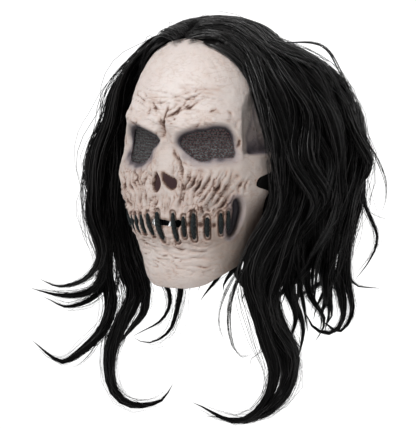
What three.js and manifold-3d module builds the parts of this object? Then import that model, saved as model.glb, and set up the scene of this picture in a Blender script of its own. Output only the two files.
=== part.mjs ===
import * as THREE from "three";
import { mergeVertices } from "three/addons/utils/BufferGeometryUtils.js";
import Module from "manifold-3d";

// A skull mask for the whole face: a thin moulded shell with sewn lips, dark mesh behind the eye
// holes, and a soft cap that carries long waved hair. It is modelled as worn, held up by the crown.
// Millimetres, +Z up. The face looks along -Y and the wearer's left is +X. The form is worked out
// about the eye line, and the finished group is lowered so that the origin is the point inside the
// cap that the wearer's crown touches.

const wasm = await Module();
wasm.setup();

// Sizes of the head form that the shell and the cap share
const HALF_WIDTH = 86; // across the cheekbones, from the middle
const FRONT_DEPTH = 94; // from the upright axis forward to the brow
const BACK_DEPTH = 100; // from the upright axis back to the back of the cap
const CROWN_RISE = 122; // from the eye line up to the top of the form
const JAW_DROP = 100; // from the eye line down to the jaw's corner
const SIDE_REACH = 100; // from the middle round to the cheek behind the notch
const WRAP_RADIUS = (HALF_WIDTH + FRONT_DEPTH) / 2; // turns a distance round the face into an angle
const SECTION_POWER = 2.6; // how boxy a level section is
const DOME_POWER = 2.2; // how boxy the dome over the eye line is
const RELIEF = 10; // rise that the feature tables give shares of

// Walls and clearances
const SHELL_WALL = 2.6;
const CAP_WALL = 2.4;
const NET_WALL = 0.8;
const PIECE_GAP = 0.35;
const CAP_DROP = 76; // from the eye line down to the cap's lower edge
const NET_MARGIN = 5; // how far the eye net reaches past the eye hole
const NOTCH_DEPTH = 20;
const NOTCH_HALF_HEIGHT = 7.5;
const TEMPLE_DEPTH = 6.5;

// Hair
const HAIR_COAT = 11; // thickness of the hair lying on the cap
const HAIRLINE_COAT = 3; // the same at the hairline
const HAIR_SPREAD = 200; // from the upright axis out to the furthest flick
const HAIR_FALL = 280; // from the eye line down to the lowest tip
const HAIR_VIEW_TURN = 35; // degrees about the axis from which the hand-laid locks are described
const LOCK_WIDTH = 34;
const LOCK_THICKNESS = 17;
const LOCK_SIDES = 4;

// How finely the surfaces are divided
const FACE_COLUMNS = 26;
const FACE_ROWS = 29;
const CAP_COLUMNS = 18;
const CAP_ROWS = 10;

// Level sections of the head form: height as a share of JAW_DROP, then half width, depth forward
// and depth back as shares of HALF_WIDTH, FRONT_DEPTH and BACK_DEPTH
const SECTIONS = [
  { up: -1.5, width: 0.3, front: 0.7, back: 0.5 },
  { up: -1.41, width: 0.44, front: 0.81, back: 0.6 },
  { up: -1.33, width: 0.535, front: 0.86, back: 0.66 },
  { up: -1.24, width: 0.605, front: 0.895, back: 0.72 },
  { up: -1.01, width: 0.7, front: 0.905, back: 0.8 },
  { up: -0.79, width: 0.8, front: 0.945, back: 0.84 },
  { up: -0.63, width: 0.865, front: 0.955, back: 0.88 },
  { up: -0.5, width: 0.93, front: 0.965, back: 0.9 },
  { up: -0.4, width: 0.995, front: 0.97, back: 0.92 },
  { up: -0.25, width: 1.0, front: 0.97, back: 0.94 },
  { up: 0.0, width: 0.94, front: 0.955, back: 0.97 },
  { up: 0.3, width: 0.905, front: 0.98, back: 0.99 },
  { up: 1.22, width: 0.895, front: 0.99, back: 1.0 },
];

// The shell's edge: height as a share of JAW_DROP, distance round as a share of SIDE_REACH
const FACE_EDGE = [
  { up: -1.34, reach: 0.2 },
  { up: -1.325, reach: 0.31 },
  { up: -1.3, reach: 0.41 },
  { up: -1.25, reach: 0.52 },
  { up: -1.17, reach: 0.71 },
  { up: -1.11, reach: 0.86 },
  { up: -1.03, reach: 0.98 },
  { up: -0.92, reach: 1.05 },
  { up: -0.7, reach: 1.08 },
  { up: -0.45, reach: 1.07 },
  { up: -0.3, reach: 1.12 },
  { up: -0.12, reach: 1.16 },
  { up: -0.04, reach: 1.17 },
  { up: 0.13, reach: 1.12 },
  { up: 0.31, reach: 1.06 },
  { up: 0.51, reach: 0.98 },
  { up: 0.65, reach: 0.91 },
  { up: 0.8, reach: 0.8 },
  { up: 0.94, reach: 0.61 },
  { up: 1.03, reach: 0.37 },
  { up: 1.07, reach: 0.1 },
];
const EDGE_BOTTOM = FACE_EDGE[0].up * JAW_DROP;
const EDGE_TOP = FACE_EDGE[FACE_EDGE.length - 1].up * JAW_DROP;
const NOTCH_UP = -0.3 * JAW_DROP;

// Rises and hollows of the skull, each on both sides: place and size as shares of SIDE_REACH (around,
// wide) and JAW_DROP (up, tall), rise as a share of RELIEF
const FEATURES = [
  { name: "inner brow", around: 0.16, up: 0.25, wide: 0.15, tall: 0.1, rise: 0.55 },
  { name: "outer brow", around: 0.5, up: 0.31, wide: 0.24, tall: 0.08, rise: 0.4 },
  { name: "frown", around: 0, up: 0.23, wide: 0.05, tall: 0.12, rise: -0.3 },
  { name: "eye hollow", around: 0.43, up: 0.04, wide: 0.27, tall: 0.15, rise: -0.9 },
  { name: "outer eye ridge", around: 0.77, up: 0.08, wide: 0.05, tall: 0.2, rise: 0.3 },
  { name: "nose", around: 0, up: -0.17, wide: 0.1, tall: 0.18, rise: 0.33 },
  { name: "nose root", around: 0, up: 0.03, wide: 0.08, tall: 0.07, rise: -0.1 },
  { name: "nostril", around: 0.1, up: -0.31, wide: 0.07, tall: 0.08, rise: -0.3 },
  { name: "cheekbone", around: 0.72, up: -0.22, wide: 0.18, tall: 0.12, rise: 0.3 },
  { name: "cheek arch", around: 1.0, up: -0.1, wide: 0.2, tall: 0.07, rise: 0.2 },
  { name: "teeth", around: 0.3, up: -0.7, wide: 0.36, tall: 0.17, rise: 0.3 },
  { name: "mouth corner", around: 0.72, up: -0.64, wide: 0.075, tall: 0.2, rise: -0.95 },
  { name: "corner rim", around: 0.84, up: -0.64, wide: 0.05, tall: 0.24, rise: 0.25 },
  { name: "under lip", around: 0, up: -0.98, wide: 0.35, tall: 0.06, rise: -0.2 },
  { name: "chin", around: 0, up: -1.15, wide: 0.22, tall: 0.12, rise: 0.15 },
  { name: "jaw line", around: 0.68, up: -1.0, wide: 0.25, tall: 0.09, rise: 0.15 },
];

// Outlines of the holes: distance round as a share of SIDE_REACH, height as a share of JAW_DROP
const EYE_HOLE = [
  { around: 0.12, up: 0.04 },
  { around: 0.15, up: 0.1 },
  { around: 0.22, up: 0.15 },
  { around: 0.32, up: 0.185 },
  { around: 0.45, up: 0.2 },
  { around: 0.58, up: 0.2 },
  { around: 0.645, up: 0.165 },
  { around: 0.685, up: 0.07 },
  { around: 0.695, up: -0.02 },
  { around: 0.675, up: -0.06 },
  { around: 0.57, up: -0.07 },
  { around: 0.45, up: -0.09 },
  { around: 0.33, up: -0.085 },
  { around: 0.23, up: -0.04 },
];
const NOSTRIL_HOLE = [
  { around: 0.028, up: -0.22 },
  { around: 0.075, up: -0.26 },
  { around: 0.14, up: -0.31 },
  { around: 0.125, up: -0.355 },
  { around: 0.085, up: -0.375 },
  { around: 0.045, up: -0.345 },
  { around: 0.025, up: -0.29 },
];
const LIP_SLIT = [
  { around: -0.15, up: -0.7 },
  { around: -0.1, up: -0.665 },
  { around: 0.0, up: -0.67 },
  { around: 0.11, up: -0.675 },
  { around: 0.17, up: -0.655 },
  { around: 0.205, up: -0.675 },
  { around: 0.2, up: -0.735 },
  { around: 0.12, up: -0.74 },
  { around: 0.0, up: -0.73 },
  { around: -0.1, up: -0.735 },
];

// Stitches across the lips: both ends as shares of SIDE_REACH and JAW_DROP, radius in millimetres
const STITCHES = [
  { top: 0.655, topUp: -0.57, foot: 0.655, footUp: -0.76, radius: 2.0 },
  { top: 0.58, topUp: -0.59, foot: 0.585, footUp: -0.795, radius: 2.2 },
  { top: 0.455, topUp: -0.63, foot: 0.455, footUp: -0.82, radius: 2.6 },
  { top: 0.33, topUp: -0.59, foot: 0.33, footUp: -0.845, radius: 2.7 },
  { top: 0.23, topUp: -0.625, foot: 0.24, footUp: -0.825, radius: 2.1 },
  { top: 0.12, topUp: -0.595, foot: 0.155, footUp: -0.875, radius: 2.3 },
  { top: -0.065, topUp: -0.595, foot: -0.01, footUp: -0.865, radius: 2.7 },
  { top: -0.18, topUp: -0.615, foot: -0.12, footUp: -0.825, radius: 2.2 },
  { top: -0.265, topUp: -0.63, foot: -0.225, footUp: -0.815, radius: 1.9 },
  { top: -0.35, topUp: -0.64, foot: -0.31, footUp: -0.815, radius: 1.9 },
  { top: -0.43, topUp: -0.64, foot: -0.4, footUp: -0.81, radius: 1.9 },
  { top: -0.52, topUp: -0.62, foot: -0.505, footUp: -0.8, radius: 2.0 },
  { top: -0.62, topUp: -0.59, foot: -0.615, footUp: -0.79, radius: 2.1 },
];
const STITCH_SIDES = 5;
const STITCH_STEPS = 4;
const STITCH_SINK = 0.25; // share of its radius that a stitch's middle line lies under the skin

// Locks that fall round the back in a curtain: turn from the front in degrees, how far down the tip
// hangs as a share of HAIR_FALL, how far the lock stands off the head and how far it waves as shares
// of HAIR_SPREAD, and where in the wave it starts, in degrees
const CURTAIN = [
  { turn: 106, fall: 0.6, billow: 0.2, wave: 0.05, start: 60 },
  { turn: 130, fall: 0.64, billow: 0.27, wave: 0.06, start: 140 },
  { turn: 155, fall: 0.66, billow: 0.27, wave: 0.06, start: 200 },
  { turn: 180, fall: 0.68, billow: 0.24, wave: 0.05, start: 300 },
  { turn: 205, fall: 0.64, billow: 0.23, wave: 0.06, start: 60 },
  { turn: 230, fall: 0.62, billow: 0.2, wave: 0.05, start: 200 },
  { turn: 252, fall: 0.5, billow: 0.14, wave: 0.05, start: 10 },
];
const CURTAIN_STEPS = 6;
const CURTAIN_WIDTH = 1.9; // widest part of a curtain lock as a share of LOCK_WIDTH
const CURTAIN_ROOT_UP = 0.86; // height of the roots as a share of CROWN_RISE

// Locks laid by hand. The root is a turn in degrees and a height as a share of CROWN_RISE. The points
// are across, toward the viewer and up, seen from HAIR_VIEW_TURN, as shares of HAIR_SPREAD,
// HAIR_SPREAD and HAIR_FALL. Width and thickness are shares of LOCK_WIDTH and LOCK_THICKNESS.
const TAILS = [
  // the wearer's right: three flicks, the long hook and the long curl
  { turn: 300, up: 0.9, width: 0.75, thick: 0.8, points: [
    [-0.38, -0.05, 0.33], [-0.48, -0.07, 0.23], [-0.54, -0.1, 0.09], [-0.62, -0.12, -0.08],
    [-0.64, -0.14, -0.24], [-0.6, -0.14, -0.38], [-0.67, -0.13, -0.49], [-0.8, -0.12, -0.52],
    [-0.91, -0.12, -0.48]] },
  { turn: 288, up: 0.84, width: 0.75, thick: 0.8, points: [
    [-0.49, -0.14, 0.23], [-0.57, -0.18, 0.07], [-0.64, -0.2, -0.11], [-0.62, -0.2, -0.27],
    [-0.58, -0.2, -0.4], [-0.65, -0.2, -0.53], [-0.8, -0.2, -0.57], [-0.96, -0.2, -0.52]] },
  { turn: 282, up: 0.78, width: 0.6, thick: 0.7, points: [
    [-0.53, -0.2, 0.09], [-0.59, -0.22, -0.1], [-0.59, -0.24, -0.3], [-0.57, -0.24, -0.43],
    [-0.63, -0.24, -0.55], [-0.78, -0.24, -0.61], [-0.91, -0.24, -0.57]] },
  { turn: 276, up: 0.74, width: 0.8, thick: 0.8, points: [
    [-0.51, -0.24, 0.01], [-0.55, -0.28, -0.17], [-0.56, -0.28, -0.34], [-0.57, -0.26, -0.48],
    [-0.57, -0.25, -0.61], [-0.64, -0.24, -0.73], [-0.8, -0.24, -0.82], [-0.95, -0.24, -0.72]] },
  { turn: 266, up: 0.7, width: 0.85, thick: 0.85, points: [
    [-0.48, -0.3, -0.06], [-0.51, -0.34, -0.23], [-0.5, -0.34, -0.39], [-0.44, -0.32, -0.55],
    [-0.5, -0.3, -0.68], [-0.57, -0.29, -0.8], [-0.54, -0.28, -0.91], [-0.43, -0.28, -0.98],
    [-0.3, -0.28, -0.97], [-0.24, -0.28, -0.89]] },
  { turn: 258, up: 0.62, width: 0.8, thick: 0.8, points: [
    [-0.44, -0.36, -0.2], [-0.44, -0.38, -0.39], [-0.37, -0.36, -0.55], [-0.37, -0.34, -0.64],
    [-0.47, -0.32, -0.71], [-0.57, -0.32, -0.77]] },
  // two curls that come round behind the chin
  { turn: 248, up: 0.5, width: 0.45, thick: 0.6, points: [
    [-0.38, -0.48, -0.2], [-0.38, -0.5, -0.38], [-0.27, -0.46, -0.57], [-0.3, -0.44, -0.69],
    [-0.46, -0.42, -0.73]] },
  { turn: 240, up: 0.5, width: 0.5, thick: 0.6, points: [
    [-0.26, -0.54, -0.2], [-0.28, -0.54, -0.38], [-0.2, -0.48, -0.58], [-0.23, -0.46, -0.7],
    [-0.36, -0.45, -0.75], [-0.45, -0.45, -0.74]] },
  // the wearer's left: beside the cheek, then the two long curls
  { turn: 64, up: 0.76, width: 0.85, thick: 0.8, points: [
    [0.26, 0.42, 0.09], [0.3, 0.38, -0.05], [0.29, 0.38, -0.19], [0.21, 0.38, -0.31],
    [0.17, 0.36, -0.43], [0.18, 0.36, -0.53], [0.23, 0.34, -0.65], [0.29, 0.32, -0.76],
    [0.24, 0.32, -0.87], [0.09, 0.32, -0.94], [-0.13, 0.32, -0.89]] },
  { turn: 76, up: 0.84, width: 1.1, thick: 1.0, points: [
    [0.36, 0.26, 0.14], [0.4, 0.24, -0.02], [0.39, 0.26, -0.18], [0.32, 0.28, -0.34],
    [0.26, 0.28, -0.48], [0.28, 0.26, -0.6], [0.37, 0.24, -0.72], [0.36, 0.24, -0.85],
    [0.23, 0.26, -0.93], [0.07, 0.28, -0.95], [-0.06, 0.28, -0.94]] },
  { turn: 90, up: 0.88, width: 1.15, thick: 1.0, points: [
    [0.39, 0.12, 0.3], [0.49, 0.1, 0.16], [0.53, 0.1, -0.01], [0.49, 0.12, -0.2],
    [0.4, 0.14, -0.37], [0.37, 0.14, -0.51], [0.42, 0.12, -0.64], [0.4, 0.12, -0.78]] },
  // the outer curtain with its loop, strand and flick
  { turn: 104, up: 0.88, width: 1.1, thick: 1.0, points: [
    [0.5, -0.02, 0.3], [0.61, -0.04, 0.14], [0.65, -0.04, -0.03], [0.63, -0.02, -0.22],
    [0.57, 0.0, -0.41], [0.54, 0.0, -0.55], [0.53, 0.0, -0.67]] },
  { turn: 116, up: 0.86, width: 1.1, thick: 0.9, points: [
    [0.6, -0.12, 0.22], [0.69, -0.16, 0.04], [0.71, -0.16, -0.16], [0.67, -0.14, -0.35],
    [0.66, -0.12, -0.5], [0.68, -0.1, -0.61], [0.62, -0.08, -0.68], [0.51, -0.06, -0.64]] },
  { turn: 124, up: 0.8, width: 0.4, thick: 0.5, points: [
    [0.66, -0.2, 0.18], [0.74, -0.22, -0.01], [0.76, -0.22, -0.21], [0.81, -0.2, -0.34],
    [0.77, -0.18, -0.43], [0.7, -0.16, -0.51]] },
  { turn: 128, up: 0.78, width: 0.6, thick: 0.6, points: [
    [0.66, -0.28, 0.1], [0.71, -0.3, -0.15], [0.68, -0.28, -0.41], [0.71, -0.26, -0.52],
    [0.85, -0.24, -0.54]] },
];

// Smooth curve through a table's column, by height
function column(table, name, up) {
  const last = table.length - 1;
  if (up <= table[0].up) return table[0][name];
  if (up >= table[last].up) return table[last][name];
  const i = table.findIndex((row) => row.up > up) - 1;
  const slope = (k) => {
    const a = table[Math.max(k - 1, 0)];
    const b = table[Math.min(k + 1, last)];
    return (b[name] - a[name]) / (b.up - a.up);
  };
  const gap = table[i + 1].up - table[i].up;
  const t = (up - table[i].up) / gap;
  const ease = t * t * (3 - 2 * t);
  return (
    table[i][name] * (1 - ease) +
    table[i + 1][name] * ease +
    gap * t * (1 - t) * ((1 - t) * slope(i) - t * slope(i + 1))
  );
}

const step = (low, high, x) => THREE.MathUtils.smoothstep(x, low, high);

// Radius of the head form in a level plane. A positive inset goes into the head.
function formRadius(turn, z, inset) {
  const rise = Math.min(Math.max(z, 0) / (CROWN_RISE - inset), 1);
  const dome = (1 - rise ** DOME_POWER) ** (1 / DOME_POWER);
  const up = z / JAW_DROP;
  const forward = Math.cos(turn) > 0;
  const width = column(SECTIONS, "width", up) * HALF_WIDTH - inset;
  const depth = forward
    ? column(SECTIONS, "front", up) * FRONT_DEPTH - inset
    : column(SECTIONS, "back", up) * BACK_DEPTH - inset;
  const sum =
    Math.abs(Math.sin(turn) / width) ** SECTION_POWER +
    Math.abs(Math.cos(turn) / depth) ** SECTION_POWER;
  return dome * sum ** (-1 / SECTION_POWER);
}

// Rise of the skull's features over the form at a distance round and a height
function relief(around, z) {
  const a = Math.abs(around) / SIDE_REACH;
  const up = z / JAW_DROP;
  let rise = 0;
  for (const f of FEATURES) {
    const across = ((a - f.around) / f.wide) ** 2;
    const along = ((up - f.up) / f.tall) ** 2;
    const mirrored = ((a + f.around) / f.wide) ** 2;
    const other = f.around > 0 ? Math.exp(-mirrored - along) : 0;
    rise += f.rise * RELIEF * (Math.exp(-across - along) + other);
  }
  const behindRidge = step(0.775, 0.84, a);
  const overArch = step(-0.05, 0.02, up);
  const underTemple = 1 - step(-0.1, 0.16, up - 0.26 - 1.2 * (a - 0.76));
  rise -= TEMPLE_DEPTH * behindRidge * overArch * underTemple;
  return rise * (1 - step(1.15, 1.5, a));
}

// A point of the form, by its distance round and height, with the features on it
function skinPoint(around, z, inset) {
  const turn = around / WRAP_RADIUS;
  const radius = formRadius(turn, z, inset) + relief(around, z);
  return new THREE.Vector3(radius * Math.sin(turn), -radius * Math.cos(turn), z);
}

function calmEdge(z) {
  return column(FACE_EDGE, "reach", z / JAW_DROP) * SIDE_REACH;
}

// Distance round to the shell's edge, with the notch under the cheek arch bitten out of it
function shellEdge(z) {
  const bite = Math.exp(-(((z - NOTCH_UP) / NOTCH_HALF_HEIGHT) ** 4));
  return calmEdge(z) - NOTCH_DEPTH * bite;
}

// A closed solid from triangles given as corner points
function solidOf(corners) {
  const raw = new THREE.BufferGeometry().setFromPoints(corners);
  const merged = mergeVertices(raw, 1e-3);
  const place = merged.index.array;
  const faces = new Map();
  for (let i = 0; i < place.length; i += 3) {
    const face = [place[i], place[i + 1], place[i + 2]];
    if (new Set(face).size < 3) continue;
    const key = [...face].sort((p, q) => p - q).join();
    if (faces.has(key)) faces.delete(key);
    else faces.set(key, face);
  }
  return new wasm.Manifold(
    new wasm.Mesh({
      numProp: 3,
      vertProperties: merged.attributes.position.array,
      triVerts: new Uint32Array([...faces.values()].flat()),
    }),
  );
}

// Corners of a sheet's triangles between rows of points
function sheetFaces(rows, flip) {
  const corners = [];
  for (let j = 0; j + 1 < rows.length; j++)
    for (let i = 0; i + 1 < rows[j].length; i++) {
      const [a, b] = [rows[j][i], rows[j][i + 1]];
      const [c, d] = [rows[j + 1][i + 1], rows[j + 1][i]];
      corners.push(...(flip ? [a, c, b, a, d, c] : [a, b, c, a, c, d]));
    }
  return corners;
}

// The largest body of a cut solid
function mainBody(solid) {
  return solid.decompose().sort((a, b) => b.volume() - a.volume())[0];
}

// A closed wall between an outer and an inner sheet that have the same rows and columns
function wallBetween(outer, inner) {
  const last = outer.length - 1;
  const end = outer[0].length - 1;
  const side = (sheet, i) => sheet.map((row) => row[i]);
  return solidOf([
    ...sheetFaces(outer, false),
    ...sheetFaces(inner, true),
    ...sheetFaces([inner[0], outer[0]], false),
    ...sheetFaces([outer[last], inner[last]], false),
    ...sheetFaces([side(outer, 0), side(inner, 0)], false),
    ...sheetFaces([side(inner, end), side(outer, end)], false),
  ]);
}

// A layer of the face between two insets, grown past the shell's edge by a margin
function faceLayer(outerInset, innerInset, margin = 0) {
  const sheet = (inset) => {
    const rows = [];
    for (let j = 0; j <= FACE_ROWS; j++) {
      const share = j / FACE_ROWS;
      const eased = share - 0.03 * Math.sin(2 * Math.PI * share);
      const z = THREE.MathUtils.lerp(EDGE_BOTTOM, EDGE_TOP, eased);
      const grown = z + (j === 0 ? -margin : j === FACE_ROWS ? margin : 0);
      const calm = calmEdge(z);
      const bite = calm - shellEdge(z);
      const row = [];
      for (let i = 0; i <= FACE_COLUMNS; i++) {
        const u = (2 * i) / FACE_COLUMNS - 1;
        const around = u * (calm + margin) - Math.sign(u) * bite * Math.abs(u) ** 5;
        row.push(skinPoint(around, grown, inset));
      }
      rows.push(row);
    }
    return rows;
  };
  return wallBetween(sheet(outerInset), sheet(innerInset));
}

// The room that the face takes up between two insets, in layers so that its edge follows the shell's
function faceRoom(outerInset, innerInset) {
  const over = faceLayer(outerInset, 0, PIECE_GAP);
  const wall = faceLayer(-PIECE_GAP, SHELL_WALL + PIECE_GAP, PIECE_GAP);
  const under = faceLayer(SHELL_WALL, innerInset, PIECE_GAP);
  return outerInset < -PIECE_GAP ? over.add(wall).add(under) : wall.add(under);
}

// A layer over the back of the head between two insets, each a function of how far behind the front
// edge a point lies. The front edge is a distance round that depends on height.
function capLayer(outerInset, innerInset, frontEdge, bottom) {
  const half = Math.PI * WRAP_RADIUS;
  const sheet = (inset) => {
    const rows = [];
    for (let j = 0; j <= CAP_ROWS; j++) {
      const share = j / CAP_ROWS;
      const row = [];
      const climb = Math.sin((share * Math.PI) / 2);
      const level = THREE.MathUtils.lerp(bottom, CROWN_RISE, climb);
      const front = Math.max(frontEdge(level), 0);
      for (let i = 0; i <= CAP_COLUMNS; i++) {
        const around = THREE.MathUtils.lerp(front, 2 * half - front, i / CAP_COLUMNS);
        const over = 2 * Math.max(level - EDGE_TOP, 0);
        const depth = inset(Math.min(around, 2 * half - around) - front + over);
        const z = THREE.MathUtils.lerp(bottom, CROWN_RISE - depth, climb);
        const signed = around > half ? around - 2 * half : around;
        row.push(skinPoint(signed, z, depth));
      }
      rows.push(row);
    }
    return rows;
  };
  return wallBetween(sheet(outerInset), sheet(innerInset));
}

// A cutter through the wall along the rays of an outline, on either side of the face
function rayCutter(outline, side, grow = 0) {
  const middle = {
    around: outline.reduce((sum, p) => sum + p.around, 0) / outline.length,
    up: outline.reduce((sum, p) => sum + p.up, 0) / outline.length,
  };
  const flat = outline.map((p) => {
    const away = new THREE.Vector2(
      (p.around - middle.around) * SIDE_REACH,
      (p.up - middle.up) * JAW_DROP,
    );
    away.setLength(away.length() + grow);
    const around = side * (middle.around * SIDE_REACH + away.x);
    return new THREE.Vector2(around, middle.up * JAW_DROP + away.y);
  });
  if (THREE.ShapeUtils.isClockWise(flat)) flat.reverse();
  const ring = (radius) =>
    flat.map((p) => {
      const turn = p.x / WRAP_RADIUS;
      return new THREE.Vector3(radius * Math.sin(turn), -radius * Math.cos(turn), p.y);
    });
  const near = ring(0.4 * FRONT_DEPTH);
  const far = ring(1.5 * FRONT_DEPTH);
  const corners = [];
  for (const [a, b, c] of THREE.ShapeUtils.triangulateShape(flat, [])) {
    corners.push(far[a], far[b], far[c], near[a], near[c], near[b]);
  }
  corners.push(...sheetFaces([[...near, near[0]], [...far, far[0]]], false));
  return solidOf(corners);
}

// A tapered tube along a path of { point, side, lift } frames with half sizes at each
function sweep(frames, sides) {
  const rings = frames.map((f) => {
    const ring = [];
    for (let k = 0; k < sides; k++) {
      const angle = (2 * Math.PI * k) / sides;
      const p = f.point.clone();
      p.addScaledVector(f.side, f.width * Math.cos(angle));
      p.addScaledVector(f.lift, f.thickness * Math.sin(angle));
      ring.push(p);
    }
    return [...ring, ring[0]];
  });
  const start = frames[0].point;
  const finish = frames[frames.length - 1].point;
  const closed = [rings[0].map(() => start), ...rings, rings[0].map(() => finish)];
  const solid = solidOf(sheetFaces(closed, false));
  return solid.volume() > 0 ? solid : solidOf(sheetFaces(closed, true));
}

// Moves a point out of the head form, to at least a clearance off it
function clearOfHead(point, clearance) {
  const z = Math.min(point.z, CROWN_RISE);
  const turn = Math.atan2(point.x, -point.y);
  const level = Math.hypot(point.x, point.y);
  const needed = formRadius(turn, z, -clearance);
  if (point.z < EDGE_BOTTOM || level >= needed || level === 0) return point;
  return new THREE.Vector3(
    (point.x * needed) / level,
    (point.y * needed) / level,
    point.z,
  );
}

// A lock of hair through chosen points, flat against the head and drawn to a tip
function lock(points, width, thickness, steps) {
  const curve = new THREE.CatmullRomCurve3(points, false, "centripetal");
  const places = [];
  for (let i = 0; i <= steps; i++) {
    places.push(clearOfHead(curve.getPoint(i / steps), thickness * 0.3));
  }
  const path = new THREE.CatmullRomCurve3(places, false, "centripetal");
  const frames = [];
  let lift = new THREE.Vector3(places[0].x, places[0].y, 0).normalize();
  for (let i = 0; i <= steps; i++) {
    const t = i / steps;
    const along = path.getTangent(t);
    lift = lift.clone().addScaledVector(along, -lift.dot(along)).normalize();
    const side = new THREE.Vector3().crossVectors(along, lift);
    const fullness = (0.55 + 0.45 * step(0, 0.3, t)) * (1 - t ** 2.2) ** 0.75 + 0.03;
    frames.push({
      point: path.getPoint(t),
      side,
      lift,
      width: (width / 2) * fullness,
      thickness: (thickness / 2) * fullness,
    });
  }
  return sweep(frames, LOCK_SIDES);
}

function rootPoint(turnDegrees, up) {
  const turn = THREE.MathUtils.degToRad(turnDegrees);
  const z = up * CROWN_RISE;
  const radius = formRadius(turn, z, 0);
  return new THREE.Vector3(radius * Math.sin(turn), -radius * Math.cos(turn), z);
}

// One lock of the curtain: over the head, out to its billow, down in waves and in to the tip
function curtainLock(row) {
  const turn = THREE.MathUtils.degToRad(row.turn);
  const outward = new THREE.Vector3(Math.sin(turn), -Math.cos(turn), 0);
  const sideways = new THREE.Vector3(Math.cos(turn), Math.sin(turn), 0);
  const top = CURTAIN_ROOT_UP * CROWN_RISE;
  const points = [];
  for (let i = 0; i <= CURTAIN_STEPS; i++) {
    const t = i / CURTAIN_STEPS;
    const z = THREE.MathUtils.lerp(top, -row.fall * HAIR_FALL, t);
    const head = formRadius(turn, Math.max(z, -0.3 * JAW_DROP), 0);
    const billow = row.billow * HAIR_SPREAD * Math.sin(Math.PI * Math.min(t * 1.15, 1) ** 0.8);
    const swing = THREE.MathUtils.degToRad(row.start + 540 * t);
    const wave = row.wave * HAIR_SPREAD * step(0.2, 0.7, t);
    points.push(
      outward
        .clone()
        .multiplyScalar(head + billow + 0.5 * wave * Math.cos(swing))
        .addScaledVector(sideways, wave * Math.sin(swing))
        .setZ(z),
    );
  }
  return lock(points, CURTAIN_WIDTH * LOCK_WIDTH, LOCK_THICKNESS, CURTAIN_STEPS);
}

function tailLock(row) {
  const view = THREE.MathUtils.degToRad(HAIR_VIEW_TURN);
  const across = new THREE.Vector3(Math.cos(view), Math.sin(view), 0);
  const toward = new THREE.Vector3(Math.sin(view), -Math.cos(view), 0);
  const free = row.points.map(([x, y, z]) =>
    new THREE.Vector3()
      .addScaledVector(across, x * HAIR_SPREAD)
      .addScaledVector(toward, y * HAIR_SPREAD)
      .setZ(z * HAIR_FALL),
  );
  const points = [rootPoint(row.turn, row.up), ...free];
  const steps = points.length;
  return lock(points, row.width * LOCK_WIDTH, row.thick * LOCK_THICKNESS, steps);
}

// The moulded face
function buildShell() {
  let shell = faceLayer(0, SHELL_WALL);
  for (const side of [-1, 1]) {
    shell = shell.subtract(rayCutter(EYE_HOLE, side));
    shell = shell.subtract(rayCutter(NOSTRIL_HOLE, side));
  }
  return shell.subtract(rayCutter(LIP_SLIT, 1));
}

// The net behind an eye hole, against the inside of the shell
function buildNet(side) {
  const front = SHELL_WALL + PIECE_GAP;
  const layer = faceLayer(front, front + NET_WALL);
  return layer.intersect(rayCutter(EYE_HOLE, side, NET_MARGIN));
}

function buildStitch(row, clearance) {
  const frames = [];
  for (let i = 0; i <= STITCH_STEPS; i++) {
    const t = i / STITCH_STEPS;
    const around = THREE.MathUtils.lerp(row.top, row.foot, t) * SIDE_REACH;
    const z = THREE.MathUtils.lerp(row.topUp, row.footUp, t) * JAW_DROP;
    const turn = around / WRAP_RADIUS;
    const plump = 0.5 + 0.5 * Math.sin(Math.PI * t) ** 0.6;
    frames.push({
      point: skinPoint(around, z, STITCH_SINK * row.radius),
      side: new THREE.Vector3(Math.cos(turn), Math.sin(turn), 0),
      lift: new THREE.Vector3(Math.sin(turn), -Math.cos(turn), 0),
      width: row.radius * plump,
      thickness: row.radius * 1.5 * plump,
    });
  }
  return mainBody(sweep(frames, STITCH_SIDES).subtract(clearance));
}

// How far round the cap's front edge would lie if it weren't cut back to the shell's edge
function capFront(z) {
  const open = 1 - step(EDGE_TOP - 3 * NOTCH_DEPTH, EDGE_TOP - NOTCH_DEPTH, z);
  return open * (calmEdge(z) - 1.5 * NOTCH_DEPTH);
}

// The cap, cut back so that its front edge meets the shell's edge
function buildCap() {
  const cap = capLayer(
    () => 0,
    () => CAP_WALL,
    capFront,
    -CAP_DROP,
  );
  return mainBody(cap.subtract(faceRoom(-3 * CAP_WALL, 4 * CAP_WALL)));
}

// Everything that the hair has to stay clear of: the shell, the cap and the room inside them
function buildHeadRoom() {
  const deep = 0.4 * FRONT_DEPTH;
  const capRoom = (outerInset, innerInset) =>
    capLayer(
      () => outerInset,
      () => innerInset,
      capFront,
      -CAP_DROP,
    );
  const overCap = capRoom(-PIECE_GAP, CAP_WALL);
  const underCap = capRoom(CAP_WALL / 2, deep);
  return faceRoom(-PIECE_GAP, deep).add(overCap).add(underCap);
}

function buildHair(headRoom) {
  const hairline = (z) => (z >= EDGE_TOP ? 0 : calmEdge(z) + PIECE_GAP);
  const coat = (behind) =>
    -THREE.MathUtils.lerp(HAIRLINE_COAT, HAIR_COAT, step(0, 3 * HAIR_COAT, behind));
  let hair = capLayer(coat, () => CAP_WALL, hairline, -CAP_DROP);
  for (const row of CURTAIN) hair = hair.add(curtainLock(row));
  for (const row of TAILS) hair = hair.add(tailLock(row));
  return mainBody(hair.subtract(headRoom));
}

const mask = new THREE.Group();
mask.position.z = CAP_WALL - CROWN_RISE;

function addPiece(name, solid, material) {
  const { vertProperties, triVerts } = solid.getMesh();
  const geometry = new THREE.BufferGeometry();
  geometry.setAttribute("position", new THREE.BufferAttribute(vertProperties, 3));
  geometry.setIndex(new THREE.BufferAttribute(triVerts, 1));
  geometry.computeVertexNormals();
  const piece = new THREE.Mesh(geometry, material);
  piece.name = name;
  mask.add(piece);
}

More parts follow.
